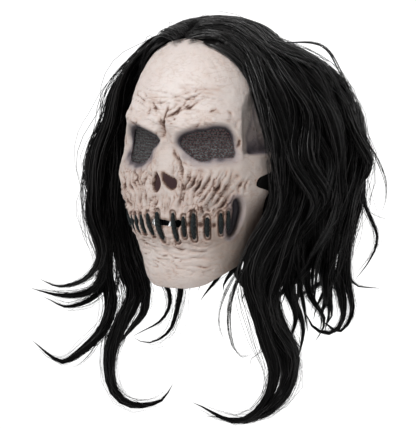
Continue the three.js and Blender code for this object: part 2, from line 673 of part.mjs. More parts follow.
const bone = new THREE.MeshStandardMaterial({ color: 0xd8c8bc, roughness: 0.6, metalness: 0 });
const cloth = new THREE.MeshStandardMaterial({ color: 0x141214, roughness: 0.95, metalness: 0 });
const net = new THREE.MeshStandardMaterial({ color: 0x26282a, roughness: 0.5, metalness: 0.3 });
const twine = new THREE.MeshStandardMaterial({ color: 0x101315, roughness: 0.7, metalness: 0 });
const strands = new THREE.MeshStandardMaterial({ color: 0x08080a, roughness: 0.4, metalness: 0 });

addPiece("face_shell", buildShell(), bone);
addPiece("eye_net_left", buildNet(1), net);
addPiece("eye_net_right", buildNet(-1), net);
const stitchClearance = faceRoom(-PIECE_GAP, 0.4 * FRONT_DEPTH);
STITCHES.forEach((row, i) => {
  const name = "stitch_" + String(i + 1).padStart(2, "0");
  addPiece(name, buildStitch(row, stitchClearance), twine);
});
addPiece("wig_cap", buildCap(), cloth);
addPiece("hair", buildHair(buildHeadRoom()), strands);

export default mask;
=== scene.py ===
import math

import bmesh
import bpy
import numpy as np
from mathutils import Matrix, Vector, noise


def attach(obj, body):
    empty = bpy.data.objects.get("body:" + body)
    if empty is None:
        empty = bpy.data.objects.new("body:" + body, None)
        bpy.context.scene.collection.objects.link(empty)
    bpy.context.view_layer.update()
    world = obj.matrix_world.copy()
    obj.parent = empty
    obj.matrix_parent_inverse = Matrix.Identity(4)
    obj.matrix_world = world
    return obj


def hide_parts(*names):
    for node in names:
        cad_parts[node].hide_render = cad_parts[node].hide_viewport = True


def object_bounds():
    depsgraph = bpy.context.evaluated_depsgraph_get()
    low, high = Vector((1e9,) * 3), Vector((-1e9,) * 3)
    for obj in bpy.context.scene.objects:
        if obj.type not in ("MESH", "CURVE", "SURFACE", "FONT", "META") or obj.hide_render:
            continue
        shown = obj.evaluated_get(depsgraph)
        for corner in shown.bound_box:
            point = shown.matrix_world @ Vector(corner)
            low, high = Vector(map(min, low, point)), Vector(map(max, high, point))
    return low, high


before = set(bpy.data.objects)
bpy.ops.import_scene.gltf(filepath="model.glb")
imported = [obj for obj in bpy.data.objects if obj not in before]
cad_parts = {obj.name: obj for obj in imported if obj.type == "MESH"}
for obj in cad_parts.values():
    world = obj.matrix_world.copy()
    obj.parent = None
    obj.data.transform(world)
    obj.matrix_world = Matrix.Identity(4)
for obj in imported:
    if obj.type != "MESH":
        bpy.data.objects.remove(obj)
size_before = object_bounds()

# Lengths are in millimetres about the eye line, as in the part's source, until to_row() turns them
# into the row frame's metres. "Around" is a distance round the face from its middle, and "up" is a
# height over the eye line.
MM = 0.001

# Sizes of the head form
HALF_WIDTH = 86
FRONT_DEPTH = 94
BACK_DEPTH = 100
CROWN_RISE = 122
JAW_DROP = 100
SIDE_REACH = 100
WRAP_RADIUS = (HALF_WIDTH + FRONT_DEPTH) / 2
SECTION_POWER = 2.6
DOME_POWER = 2.2
RELIEF = 10

# Walls
SHELL_WALL = 2.6
CAP_WALL = 2.4
NET_WALL = 0.5
PIECE_GAP = 0.35
CAP_DROP = 76
NET_MARGIN = 5
NET_PITCH = 3.3
NET_THREAD = 0.52
NET_BEHIND = 1.8
NOTCH_DEPTH = 20
NOTCH_UP = -30
NOTCH_HALF_HEIGHT = 7.5
LIPS_UP = -70.5
TEMPLE_DEPTH = 6.5

# Fineness of the modelled sheets
FACE_ACROSS = 205
FACE_UP = 215
COAT_ACROSS = 150
COAT_UP = 60
CAP_ACROSS = 90
CAP_UP = 36

# Hair
HAIR_SPREAD = 200
HAIR_FALL = 280
HAIR_VIEW_TURN = 35  # the side that the listed locks are laid out from, in degrees
HAIR_COAT = 7
HAIRLINE_COAT = 1.6
COAT_WALL = 1.2
ROOT_LIFT = 0.6 * HAIR_COAT
TAIL_FULLNESS = 1.35  # how much fuller the listed locks are than their rows say
LOCK_WIDTH = 34
LOCK_THICKNESS = 17
STRAND_RADIUS = 0.33
STRAND_STEPS = 28
CORE_STEPS = 48
CORE_SIDES = 20
STRANDS_PER_LOCK = {"left": 38, "right": 42, "back": 30}
STRANDS_PER_WISP = 170

# Colours of the face's paints, painted shade among them, and of the backdrop's glow
BONE_DIM = (0.54, 0.47, 0.44, 1)
BONE_PALE = (0.6, 0.545, 0.52, 1)
# brown patina, partly painted shade: low on the face and toward the back of the wearer's left side
PATINA_AND_SHADE_BROWN = (0.265, 0.215, 0.185, 1)
SMUDGE_TAN = (0.44, 0.32, 0.26, 1)
SPECK_BROWN = (0.25, 0.14, 0.1, 1)
WASH_BROWN = (0.3, 0.185, 0.135, 1)
WASH_DEEP = (0.065, 0.03, 0.02, 1)
SHADE_GREY = (0.175, 0.145, 0.155, 1)
SHADE_DEEP = (0.035, 0.028, 0.034, 1)
# dark brown at the back of the jaw, partly paint and partly painted shade
JAW_BROWN_AND_SHADE = (0.09, 0.055, 0.042, 1)
# painted black shade, under the brows and deep in the mouth's corners
SHADE_BLACK = (0.012, 0.008, 0.012, 1)
BACKDROP_FRONT = (0.36, 0.36, 0.36, 1)
BACKDROP_BEHIND = (0.98, 0.98, 0.98, 1)
BACKDROP_CEILING = (0.12, 0.12, 0.12, 1)

# The photograph's view: degrees, metres to the eye line, metres shown across, and how far the
# picture's middle is to the left of the eye line's middle and under it
VIEW_TURN = 35
VIEW_RISE = 3
VIEW_DISTANCE = 1.8
VIEW_WIDTH = 0.429
AIM_LEFT = 0.0095
AIM_DOWN = 0.0685

LOWERED = CAP_WALL - CROWN_RISE  # the row's origin is inside the cap's crown


def table(columns, rows):
    return [dict(zip(columns.split(), row)) for row in rows]


# The head form's level sections: heights as shares of JAW_DROP, the rest as shares of HALF_WIDTH,
# FRONT_DEPTH and BACK_DEPTH
SECTIONS = table("up width front back", [
    (-1.5, 0.3, 0.7, 0.5),
    (-1.41, 0.44, 0.81, 0.6),
    (-1.33, 0.535, 0.86, 0.66),
    (-1.24, 0.605, 0.895, 0.72),
    (-1.01, 0.7, 0.905, 0.8),
    (-0.79, 0.8, 0.945, 0.84),
    (-0.63, 0.865, 0.955, 0.88),
    (-0.5, 0.93, 0.965, 0.9),
    (-0.4, 0.995, 0.97, 0.92),
    (-0.25, 1.0, 0.97, 0.94),
    (0.0, 0.94, 0.955, 0.97),
    (0.3, 0.905, 0.98, 0.99),
    (1.22, 0.895, 0.99, 1.0),
])
# How far round the face its side edge is, as a share of SIDE_REACH, by height
FACE_EDGE = table("up reach", [
    (-1.34, 0.2), (-1.325, 0.31), (-1.3, 0.41), (-1.25, 0.52), (-1.17, 0.71), (-1.11, 0.86),
    (-1.03, 0.98), (-0.92, 1.05), (-0.7, 1.08), (-0.45, 1.07), (-0.3, 1.12), (-0.12, 1.16),
    (-0.04, 1.17), (0.13, 1.12), (0.31, 1.06), (0.51, 0.98), (0.65, 0.91), (0.8, 0.8),
    (0.94, 0.61), (1.03, 0.37), (1.07, 0.1),
])
EDGE_BOTTOM = FACE_EDGE[0]["up"] * JAW_DROP
EDGE_TOP = FACE_EDGE[-1]["up"] * JAW_DROP

# Broad rises and hollows, on both sides: shares of SIDE_REACH, JAW_DROP and RELIEF
FEATURES = table("around up wide tall rise", [
    (0.16, 0.25, 0.15, 0.1, 0.55),
    (0.5, 0.31, 0.24, 0.08, 0.4),
    (0, 0.23, 0.05, 0.12, -0.3),
    (0.43, 0.04, 0.27, 0.15, -0.8),
    (0.77, 0.08, 0.05, 0.2, 0.35),
    (0, -0.17, 0.1, 0.18, 0.33),
    (0, 0.03, 0.08, 0.07, -0.1),
    (0.1, -0.31, 0.07, 0.08, -0.3),
    (0.72, -0.22, 0.18, 0.12, 0.3),
    (1.0, -0.1, 0.2, 0.07, 0.2),
    (0.3, -0.7, 0.36, 0.17, 0.3),
    (0.84, -0.64, 0.05, 0.24, 0.25),
    (0, -0.98, 0.35, 0.06, -0.2),
    (0, -1.15, 0.22, 0.12, 0.15),
    (0.68, -1.0, 0.25, 0.09, 0.15),
])

# Outlines of the holes in millimetres: around, up
LEFT_EYE = [
    (17, 6), (20, 12), (28, 16), (35, 18), (43, 19), (52, 21), (61, 20.5), (66, 16), (69.5, 8),
    (71.5, -1), (70, -6), (62, -6.5), (52, -7), (45, -9.5), (38, -10), (30, -6.5), (22, -1),
]
RIGHT_EYE = [
    (-8, 10), (-14, 14), (-22, 17.5), (-32, 20), (-42, 19.5), (-52, 17), (-60, 12), (-64, 4), (-62, -5),
    (-54, -11), (-45, -14), (-35, -14.5), (-26, -12), (-20.5, -6.5), (-18.5, 0), (-13, 4.5),
]
LEFT_NOSE_HOLE = [
    (1.5, -22.5), (7, -25.5), (13, -29), (14, -33), (11.5, -36), (8, -36.5), (4, -33), (2, -29),
]
RIGHT_NOSE_HOLE = [
    (-7.5, -23), (-4.8, -24.5), (-3.6, -29), (-4, -34), (-7, -39), (-10.5, -38.5), (-12.2, -33),
    (-10.5, -27),
]
LIP_SLIT = [
    (-16, -70.5), (-12, -67), (-5, -66.6), (2, -67), (9, -68), (14, -67), (19.5, -66), (21, -70), (18, -74),
    (11, -73.5), (3, -72.5), (-6, -73), (-12, -74),
]
MOUTH_CORNER = [
    (70, -46), (74, -44.5), (77.5, -50), (79, -58), (77.5, -67), (74.5, -76), (70, -82), (65, -82.5),
    (64, -76), (67, -68), (68.5, -60), (68.5, -52),
]

# Creases in millimetres, from one end to the other, with how far the middle is bowed to the left of
# the way they run. A mirror of 1 repeats the crease on the other side.
CREASES = table("from_around from_up to_around to_up bow width depth mirror", [
    # forehead
    (-33, 48, -8, 46, 2, 0.9, 0.7, 0), (-30, 54, -6, 50, 1, 0.8, 0.4, 0), (2, 49, 30, 58, -2, 0.9, 1.0, 0),
    (6, 46, 42, 57, -3, 1.0, 1.1, 0), (28, 57, 62, 56, 2, 0.9, 0.8, 0), (34, 60, 66, 60, 2, 0.8, 0.5, 0),
    (16, 44, 46, 52, -2, 0.9, 0.7, 0), (40, 53, 60, 50, 2, 0.8, 0.5, 0), (-12, 46, 6, 49, -2, 1.0, 0.9, 0),
    (46, 46, 64, 44, 2, 0.8, 0.4, 0), (10, 53, 24, 58, -1, 0.7, 0.5, 0), (-26, 44, -14, 40, 2, 0.9, 0.6, 0),
    # between the brows
    (0, 12, 1, 27, 0, 2.4, 3.0, 0), (1, 25, 4, 44, -1, 1.3, 1.5, 0), (-2, 24, -9, 40, -2, 1.3, 1.4, 0),
    (-8, 38, -14, 48, 1, 1.1, 0.9, 0), (6, 32, 25, 48, -2, 1.4, 1.8, 0), (11, 33, 30, 46, -1, 1.2, 1.4, 0),
    (23, 40, 36, 47, -2, 1.4, 1.7, 0), (4, 38, 15, 46, -2, 1.2, 1.3, 0), (16, 36, 24, 42, 1, 1.1, 1.2, 0),
    (-14, 44, -7, 31, 1, 1.4, 1.4, 0), (-19, 50, -13, 38, 1, 1.1, 0.9, 0), (-4, 42, -6, 50, 1, 0.9, 0.8, 0),
    (-18, 38, -17, 34, 0, 2.0, 1.4, 0), (8, 28, 5, 35, 1, 1.2, 1.0, 0), (2, 17, 10, 12.5, 1, 1.1, 1.0, 1),
    # brow
    (28, 18, 41, 30, -2, 1.3, 1.5, 1), (41, 30, 53, 26, 2, 1.0, 0.8, 1), (48, 37, 57, 36, 2, 1.5, 1.6, 1),
    (66, 38, 69, 33, 0, 1.5, 1.2, 0), (63, 29, 67, 28, 0, 1.4, 0.9, 1), (34, 24, 44, 21, 2, 1.0, 0.7, 0),
    (56, 42, 62, 45, 0, 0.8, 0.5, 0), (75, 12, 74.5, 2, 0, 1.4, 2.2, 1), (72, 22, 78, 30, 1, 1.0, 0.8, 1),
    # nose
    (2, 9, 14, 3, 2, 1.0, 0.8, 1), (11, 2, 18, -10, -2, 1.4, 1.6, 0), (14, -3, 19, -18, 2, 1.1, 1.4, 0),
    (17, -9, 22, -28, 2, 1.6, 2.2, 0), (20, -14, 25, -33, -1, 1.2, 1.5, 0),
    (12, -4, 20, -24, 3, 1.0, 0.9, 0),
    (19, -25, 24, -38, 1, 1.6, 1.7, 1), (-12, 0, -19, -14, 2, 1.2, 0.9, 0),
    (-17, -10, -22, -28, -2, 1.2, 1.1, 0),
    (15, -25, 19, -38, 1, 1.1, 1.0, 0), (-3, -20, 3, -20, -1, 0.9, 0.7, 0),
    (5, -40, 2, -48, 1, 1.0, 0.9, 0),
    (13, -39, 17, -46, 1, 1.1, 1.0, 0), (-9, -42, -14, -50, 1, 1.0, 0.9, 0),
    # under the eye
    (16, -7, 34, -14, -2, 1.3, 0.9, 1), (32, -13, 60, -12, -3, 1.2, 0.8, 1),
    (40, -15, 58, -15, -2, 1.0, 0.5, 1),
    (60, -13, 70, -17, 1, 0.9, 0.6, 1),
    # flesh of the cheek
    (30, -17, 24, -34, 2, 1.3, 1.4, 1), (36, -19, 27, -38, 2, 1.4, 1.9, 1),
    (42, -20, 31, -42, 2, 1.4, 2.0, 1),
    (48, -23, 35, -45, 2, 1.4, 2.2, 1), (53, -26, 38, -50, 2, 1.3, 1.9, 1),
    (58, -28, 43, -53, 2, 1.3, 1.8, 1),
    (62, -32, 48, -55, 2, 1.3, 1.8, 1), (66, -36, 53, -57, 3, 1.4, 2.0, 1),
    (70, -39, 59, -56, 3, 1.4, 2.0, 1),
    (24, -34, 19, -55, -2, 1.2, 1.3, 1), (27, -38, 26, -57, 1, 1.2, 1.4, 1),
    (31, -43, 29, -55, 1, 1.1, 1.3, 1),
    (35, -45, 37, -59, 1, 1.2, 1.3, 1), (39, -50, 41, -61, 1, 1.2, 1.4, 1),
    (44, -53, 49, -62, 1, 1.1, 1.2, 1),
    (52, -55, 53, -63, 1, 1.2, 1.4, 1), (59, -56, 62, -64, 1, 1.1, 1.3, 1),
    (14, -44, 8, -58, 1, 1.2, 1.4, 0),
    (19, -42, 17, -55, 1, 1.0, 1.0, 0), (2, -42, 0, -58, -2, 1.2, 1.2, 0),
    (-6, -44, -11, -58, 1, 1.2, 1.2, 0),
    (8, -46, 3, -60, 1, 0.9, 0.9, 0), (39, -30, 34, -37, 0, 1.0, 1.0, 1),
    (45, -31, 40, -38, 0, 1.0, 1.0, 1),
    (33, -25, 29, -31, 0, 1.0, 1.0, 1), (79, -28, 74, -41, -3, 1.4, 1.6, 1),
    (84, -27, 80, -38, -2, 1.1, 1.1, 1),
    (72, -24, 72.5, -24.5, 0, 1.8, 1.6, 1), (89, -26, 92, -31, 0, 1.0, 0.7, 1),
    # under the lips
    (-4, -88, 8, -92, -1, 1.1, 1.2, 0), (4, -90, 24, -95, -2, 1.1, 1.2, 0),
    (12, -89, 36, -92, 2, 1.1, 1.2, 0),
    (20, -95, 50, -94, -3, 1.1, 1.1, 0), (34, -91, 52, -88, -2, 1.0, 0.9, 0),
    (-6, -104, 8, -104, 2, 1.2, 1.2, 0),
    (18, -105, 29, -104.5, -1, 1.2, 1.1, 0), (-2, -99, 24, -100, -1, 0.9, 0.7, 0),
    (-9, -108, 9, -108.5, 1, 1.1, 0.8, 0),
    (26, -98, 46, -99, 2, 0.9, 0.7, 0), (-30, -90, -10, -95, -2, 1.1, 1.1, 0),
    (-26, -96, -8, -99, -1, 1.0, 0.8, 0),
    (-40, -88, -24, -93, -1, 1.0, 0.8, 0), (8, -109, 26, -110, 1, 0.9, 0.5, 0),
    (44, -93, 62, -87, -2, 1.0, 0.8, 0),
    (20, -86, 15, -91, 0, 1.0, 1.1, 0), (29, -84, 27, -90, 0, 1.0, 1.0, 0),
    (38, -85, 40, -90, 0, 1.0, 1.0, 0),
    (48, -84, 50, -88, 0, 1.0, 0.9, 0), (6, -85, 5, -90, 0, 1.0, 1.0, 0),
    (2, -119, 4, -121, 0, 2.4, 0.9, 0),
])

# Dark pits between the stitches, in millimetres
PITS = table("around up wide tall depth", [
    (28.5, -70, 3.2, 2.6, 3.2), (39.5, -70.5, 3.6, 3.0, 3.4), (51.5, -71, 2.6, 2.6, 2.8),
    (61.5, -70, 2.4, 3.0, 2.6),
    (-24, -70, 2.8, 2.6, 2.6), (-31, -70, 2.6, 2.6, 2.4), (-39, -71, 2.6, 2.6, 2.4),
    (-48, -71, 2.6, 2.6, 2.4),
    (-57, -70, 2.6, 2.8, 2.4),
])

# Where fine wrinkles run across the face: the height and its spread, how far to the sides, the
# wrinkles' width and length, and a seed
WRINKLED = table("up tall reach wide long seed", [
    (47, 14, 72, 5.5, 30, 6.1),
    (27, 8, 70, 4.5, 18, 3.3),
    (-88, 8, 64, 3.6, 18, 5.2),
    (-107, 13, 56, 4.0, 20, 2.2),
])

# Stitches: both ends as shares of SIDE_REACH and JAW_DROP, radius in millimetres
STITCHES = table("top top_up foot foot_up radius", [
    (0.655, -0.57, 0.655, -0.76, 2.0),
    (0.58, -0.59, 0.585, -0.795, 2.2),
    (0.455, -0.63, 0.455, -0.82, 2.6),
    (0.33, -0.59, 0.33, -0.845, 2.7),
    (0.23, -0.625, 0.24, -0.825, 2.1),
    (0.12, -0.595, 0.155, -0.875, 2.3),
    (-0.065, -0.595, -0.01, -0.865, 2.7),
    (-0.18, -0.615, -0.12, -0.825, 2.2),
    (-0.265, -0.63, -0.225, -0.815, 1.9),
    (-0.35, -0.64, -0.31, -0.815, 1.9),
    (-0.43, -0.64, -0.4, -0.81, 1.9),
    (-0.52, -0.62, -0.505, -0.8, 2.0),
    (-0.62, -0.59, -0.615, -0.79, 2.1),
])

# Hair of the curtain: turn from the front in degrees, fall as a share of HAIR_FALL, billow and wave
# as shares of HAIR_SPREAD, start of the wave in degrees
CURTAIN = table("turn fall billow wave start", [
    (84, 0.56, 0.12, 0.05, 0),
    (106, 0.6, 0.2, 0.05, 60),
    (130, 0.64, 0.27, 0.06, 140),
    (155, 0.66, 0.27, 0.06, 200),
    (180, 0.68, 0.24, 0.05, 300),
    (205, 0.64, 0.23, 0.06, 420),
    (230, 0.62, 0.2, 0.05, 560),
    (252, 0.5, 0.14, 0.05, 370),
    (266, 0.5, 0.12, 0.05, 420),
])
CURTAIN_LOCKS = 24
CURTAIN_ROOT_UP = 0.86

# Locks listed one by one, as in the part's source. The points are across, toward the viewer and up, seen
# from HAIR_VIEW_TURN, as shares of HAIR_SPREAD, HAIR_SPREAD and HAIR_FALL.
TAILS = table("turn up width thick points", [
    # the wearer's right: three flicks, the long hook and the long curl
    (300, 0.9, 0.75, 0.8, [
        (-0.38, -0.05, 0.33), (-0.48, -0.07, 0.23), (-0.54, -0.1, 0.09), (-0.62, -0.12, -0.08),
        (-0.64, -0.14, -0.24), (-0.6, -0.14, -0.38), (-0.67, -0.13, -0.49), (-0.8, -0.12, -0.52),
        (-0.91, -0.12, -0.48)]),
    (288, 0.84, 0.75, 0.8, [
        (-0.49, -0.14, 0.23), (-0.57, -0.18, 0.07), (-0.64, -0.2, -0.11), (-0.62, -0.2, -0.27),
        (-0.58, -0.2, -0.4), (-0.65, -0.2, -0.53), (-0.8, -0.2, -0.57), (-0.96, -0.2, -0.52)]),
    (282, 0.78, 0.6, 0.7, [
        (-0.53, -0.2, 0.09), (-0.59, -0.22, -0.1), (-0.59, -0.24, -0.3), (-0.57, -0.24, -0.43),
        (-0.63, -0.24, -0.55), (-0.78, -0.24, -0.61), (-0.91, -0.24, -0.57)]),
    (276, 0.74, 0.8, 0.8, [
        (-0.51, -0.24, 0.01), (-0.55, -0.28, -0.17), (-0.56, -0.28, -0.34), (-0.57, -0.26, -0.48),
        (-0.57, -0.25, -0.61), (-0.64, -0.24, -0.73), (-0.8, -0.24, -0.82), (-0.95, -0.24, -0.72)]),
    (266, 0.7, 0.85, 0.85, [
        (-0.48, -0.3, -0.06), (-0.51, -0.34, -0.23), (-0.5, -0.34, -0.39), (-0.44, -0.32, -0.55),
        (-0.5, -0.3, -0.68), (-0.57, -0.29, -0.8), (-0.54, -0.28, -0.91), (-0.43, -0.28, -0.98),
        (-0.3, -0.28, -0.97), (-0.24, -0.28, -0.89)]),
    (258, 0.62, 0.8, 0.8, [
        (-0.44, -0.36, -0.2), (-0.44, -0.38, -0.39), (-0.37, -0.36, -0.55), (-0.37, -0.34, -0.64),
        (-0.47, -0.32, -0.71), (-0.57, -0.32, -0.77)]),
    # two curls that come round behind the chin
    (248, 0.5, 0.32, 0.5, [
        (-0.38, -0.48, -0.2), (-0.38, -0.5, -0.38), (-0.27, -0.46, -0.57), (-0.3, -0.44, -0.69),
        (-0.46, -0.42, -0.73)]),
    (240, 0.5, 0.38, 0.5, [
        (-0.26, -0.54, -0.2), (-0.28, -0.54, -0.38), (-0.2, -0.48, -0.58), (-0.23, -0.46, -0.7),
        (-0.36, -0.45, -0.75), (-0.45, -0.45, -0.74)]),
    # the wearer's left: beside the cheek, then the two long curls
    (64, 0.76, 0.85, 0.8, [
        (0.26, 0.42, 0.09), (0.3, 0.38, -0.05), (0.29, 0.38, -0.19), (0.21, 0.38, -0.31),
        (0.17, 0.36, -0.43), (0.18, 0.36, -0.53), (0.23, 0.34, -0.65), (0.29, 0.32, -0.76),
        (0.24, 0.32, -0.87), (0.09, 0.32, -0.94), (-0.13, 0.32, -0.89)]),
    (76, 0.84, 1.1, 1.0, [
        (0.36, 0.26, 0.14), (0.4, 0.24, -0.02), (0.39, 0.26, -0.18), (0.32, 0.28, -0.34),
        (0.26, 0.28, -0.48), (0.28, 0.26, -0.6), (0.37, 0.24, -0.72), (0.36, 0.24, -0.85),
        (0.23, 0.26, -0.93), (0.07, 0.28, -0.95), (-0.06, 0.28, -0.94)]),
    (90, 0.88, 1.15, 1.0, [
        (0.39, 0.12, 0.3), (0.49, 0.1, 0.16), (0.53, 0.1, -0.01), (0.49, 0.12, -0.2),
        (0.4, 0.14, -0.37), (0.37, 0.14, -0.51), (0.42, 0.12, -0.64), (0.4, 0.12, -0.78)]),
    # the outer curtain with its loop, strand and flick
    (104, 0.88, 1.1, 1.0, [
        (0.5, -0.02, 0.3), (0.61, -0.04, 0.14), (0.65, -0.04, -0.03), (0.63, -0.02, -0.22),
        (0.57, 0.0, -0.41), (0.54, 0.0, -0.55), (0.53, 0.0, -0.67)]),
    (116, 0.86, 1.1, 0.9, [
        (0.6, -0.12, 0.22), (0.69, -0.16, 0.04), (0.71, -0.16, -0.16), (0.67, -0.14, -0.35),
        (0.66, -0.12, -0.5), (0.68, -0.1, -0.61), (0.62, -0.08, -0.68), (0.51, -0.06, -0.64)]),
    (124, 0.8, 0.3, 0.4, [
        (0.66, -0.2, 0.18), (0.74, -0.22, -0.01), (0.76, -0.22, -0.21), (0.81, -0.2, -0.34),
        (0.77, -0.18, -0.43), (0.7, -0.16, -0.51)]),
    (128, 0.78, 0.45, 0.5, [
        (0.66, -0.28, 0.1), (0.71, -0.3, -0.15), (0.68, -0.28, -0.41), (0.71, -0.26, -0.52),
        (0.85, -0.24, -0.54)]),
])

# Locks that fill the masses between them, listed like them
FILL = table("turn up width thick points", [
    (80, 0.84, 1.1, 1.0, [
        (0.34, 0.2, 0.22), (0.46, 0.18, 0.06), (0.45, 0.18, -0.14), (0.37, 0.2, -0.32), (0.34, 0.2, -0.47),
        (0.38, 0.18, -0.6), (0.34, 0.16, -0.72)]),
    (96, 0.86, 1.1, 1.0, [
        (0.44, 0.05, 0.3), (0.55, 0.04, 0.14), (0.58, 0.04, -0.03), (0.52, 0.05, -0.2), (0.45, 0.05, -0.38),
        (0.47, 0.05, -0.52), (0.53, 0.04, -0.62), (0.48, 0.04, -0.7)]),
    (108, 0.86, 1.1, 1.0, [
        (0.54, -0.06, 0.28), (0.63, -0.08, 0.1), (0.66, -0.08, -0.1), (0.6, -0.06, -0.28),
        (0.56, -0.05, -0.42),
        (0.62, -0.05, -0.55), (0.64, -0.05, -0.64), (0.57, -0.05, -0.69)]),
    (112, 0.84, 0.8, 0.8, [
        (0.6, -0.1, 0.25), (0.69, -0.12, 0.08), (0.71, -0.12, -0.12), (0.66, -0.1, -0.3),
        (0.62, -0.1, -0.45),
        (0.65, -0.1, -0.57), (0.6, -0.1, -0.67), (0.49, -0.1, -0.67), (0.43, -0.1, -0.6)]),
    (70, 0.8, 1.15, 1.0, [
        (0.31, 0.34, 0.15), (0.37, 0.3, 0.0), (0.36, 0.3, -0.16), (0.28, 0.32, -0.3), (0.21, 0.32, -0.43),
        (0.23, 0.3, -0.56), (0.3, 0.28, -0.68), (0.335, 0.27, -0.8), (0.27, 0.28, -0.9),
        (0.14, 0.28, -0.955),
        (-0.02, 0.28, -0.935)]),
    (86, 0.86, 1.0, 1.0, [
        (0.38, 0.14, 0.26), (0.45, 0.14, 0.1), (0.42, 0.15, -0.1), (0.36, 0.16, -0.26), (0.31, 0.18, -0.42),
        (0.3, 0.18, -0.55), (0.36, 0.18, -0.66), (0.42, 0.16, -0.72)]),
    (296, 0.88, 0.95, 0.9, [
        (-0.34, -0.12, 0.34), (-0.41, -0.16, 0.24), (-0.45, -0.2, 0.11), (-0.475, -0.22, -0.04),
        (-0.5, -0.24, -0.2), (-0.49, -0.25, -0.35), (-0.45, -0.26, -0.46)]),
    (284, 0.86, 0.95, 0.9, [
        (-0.4, -0.22, 0.3), (-0.46, -0.26, 0.17), (-0.5, -0.28, 0.02), (-0.53, -0.3, -0.16),
        (-0.53, -0.3, -0.32),
        (-0.5, -0.3, -0.46), (-0.46, -0.3, -0.56)]),
    (262, 0.8, 1.0, 1.0, [
        (-0.42, -0.4, 0.2), (-0.45, -0.44, 0.02), (-0.45, -0.46, -0.16), (-0.43, -0.46, -0.3),
        (-0.42, -0.44, -0.44), (-0.4, -0.42, -0.52)]),
    (250, 0.8, 1.0, 1.0, [
        (-0.36, -0.5, 0.2), (-0.38, -0.56, 0.02), (-0.38, -0.58, -0.16), (-0.36, -0.58, -0.3),
        (-0.33, -0.56, -0.42)]),
    (100, 0.86, 1.2, 1.0, [
        (0.48, 0.0, 0.3), (0.58, 0.0, 0.14), (0.6, 0.0, -0.03), (0.56, 0.0, -0.2), (0.52, 0.0, -0.36),
        (0.53, 0.0, -0.5), (0.57, 0.0, -0.6), (0.54, 0.0, -0.68)]),
    (114, 0.84, 1.2, 1.0, [
        (0.56, -0.14, 0.25), (0.65, -0.16, 0.08), (0.66, -0.18, -0.1), (0.63, -0.17, -0.28),
        (0.58, -0.16, -0.42), (0.57, -0.16, -0.54), (0.59, -0.16, -0.63), (0.54, -0.15, -0.68)]),
    (88, 0.86, 1.1, 1.0, [
        (0.36, 0.1, 0.28), (0.44, 0.1, 0.1), (0.44, 0.1, -0.1), (0.4, 0.1, -0.3), (0.4, 0.1, -0.46),
        (0.44, 0.1, -0.58), (0.46, 0.1, -0.67)]),
])

# Thin wisps that stray from the locks, listed like them
WISPS = table("turn up width thick points", [
    # beside the chin on the wearer's left, and the small hook under it
    (60, 0.5, 0.2, 0.3, [
        (0.27, 0.42, 0.05), (0.27, 0.4, -0.15), (0.2, 0.4, -0.28), (0.15, 0.4, -0.38), (0.09, 0.38, -0.46),
        (0.055, 0.38, -0.56), (0.065, 0.38, -0.66), (0.115, 0.38, -0.72), (0.2, 0.36, -0.7)]),
    (60, 0.5, 0.12, 0.2, [
        (0.27, 0.42, 0.05), (0.26, 0.4, -0.15), (0.18, 0.4, -0.3), (0.1, 0.4, -0.41), (0.03, 0.38, -0.5),
        (0.005, 0.38, -0.6), (0.05, 0.38, -0.69)]),
    (66, 0.6, 0.22, 0.3, [
        (0.3, 0.4, 0.0), (0.3, 0.38, -0.2), (0.2, 0.38, -0.4), (0.22, 0.36, -0.6), (0.22, 0.36, -0.69),
        (0.165, 0.36, -0.715), (0.14, 0.36, -0.75), (0.165, 0.36, -0.78)]),
    # off the outer curtain
    (126, 0.8, 0.1, 0.2, [
        (0.7, -0.25, 0.15), (0.76, -0.25, 0.02), (0.82, -0.24, -0.06), (0.87, -0.24, -0.16),
        (0.85, -0.24, -0.25),
        (0.79, -0.24, -0.3)]),
    (122, 0.8, 0.08, 0.2, [
        (0.64, -0.2, 0.2), (0.74, -0.2, 0.04), (0.76, -0.2, -0.2), (0.8, -0.2, -0.26),
        (0.91, -0.2, -0.28)]),
    (118, 0.85, 0.1, 0.2, [
        (0.52, -0.1, 0.36), (0.62, -0.12, 0.26), (0.7, -0.14, 0.12), (0.74, -0.16, 0.0),
        (0.77, -0.18, -0.12)]),
    # off the flicks on the wearer's right
    (290, 0.8, 0.12, 0.2, [
        (-0.55, -0.18, 0.1), (-0.68, -0.2, -0.1), (-0.69, -0.2, -0.28), (-0.66, -0.2, -0.42)]),
    (276, 0.7, 0.2, 0.3, [
        (-0.52, -0.26, -0.1), (-0.55, -0.28, -0.34), (-0.57, -0.26, -0.6), (-0.62, -0.24, -0.74),
        (-0.73, -0.24, -0.83), (-0.82, -0.24, -0.82)]),
    (268, 0.7, 0.22, 0.3, [
        (-0.5, -0.3, -0.2), (-0.52, -0.3, -0.5), (-0.58, -0.28, -0.7), (-0.59, -0.28, -0.82),
        (-0.55, -0.28, -0.9), (-0.57, -0.28, -0.945)]),
    (304, 0.92, 0.22, 0.3, [
        (-0.34, -0.05, 0.37), (-0.45, -0.06, 0.3), (-0.53, -0.08, 0.24), (-0.56, -0.08, 0.19)]),
])

# Softboxes: metres from the face toward the camera, to its right and up, with size and power
LIGHTS = table("name toward right up size power", [
    ("key", 1.3, -0.9, 1.3, 0.7, 40),
    ("fill", 1.5, 1.3, 0.2, 1.2, 5),
    ("rim", -0.9, 0.9, 1.3, 0.8, 14),
])


def step(low, high, x):
    t = np.clip((x - low) / (high - low), 0, 1)
    return t * t * (3 - 2 * t)


def bell(x, width):
    return np.exp(-((x / width) ** 2))


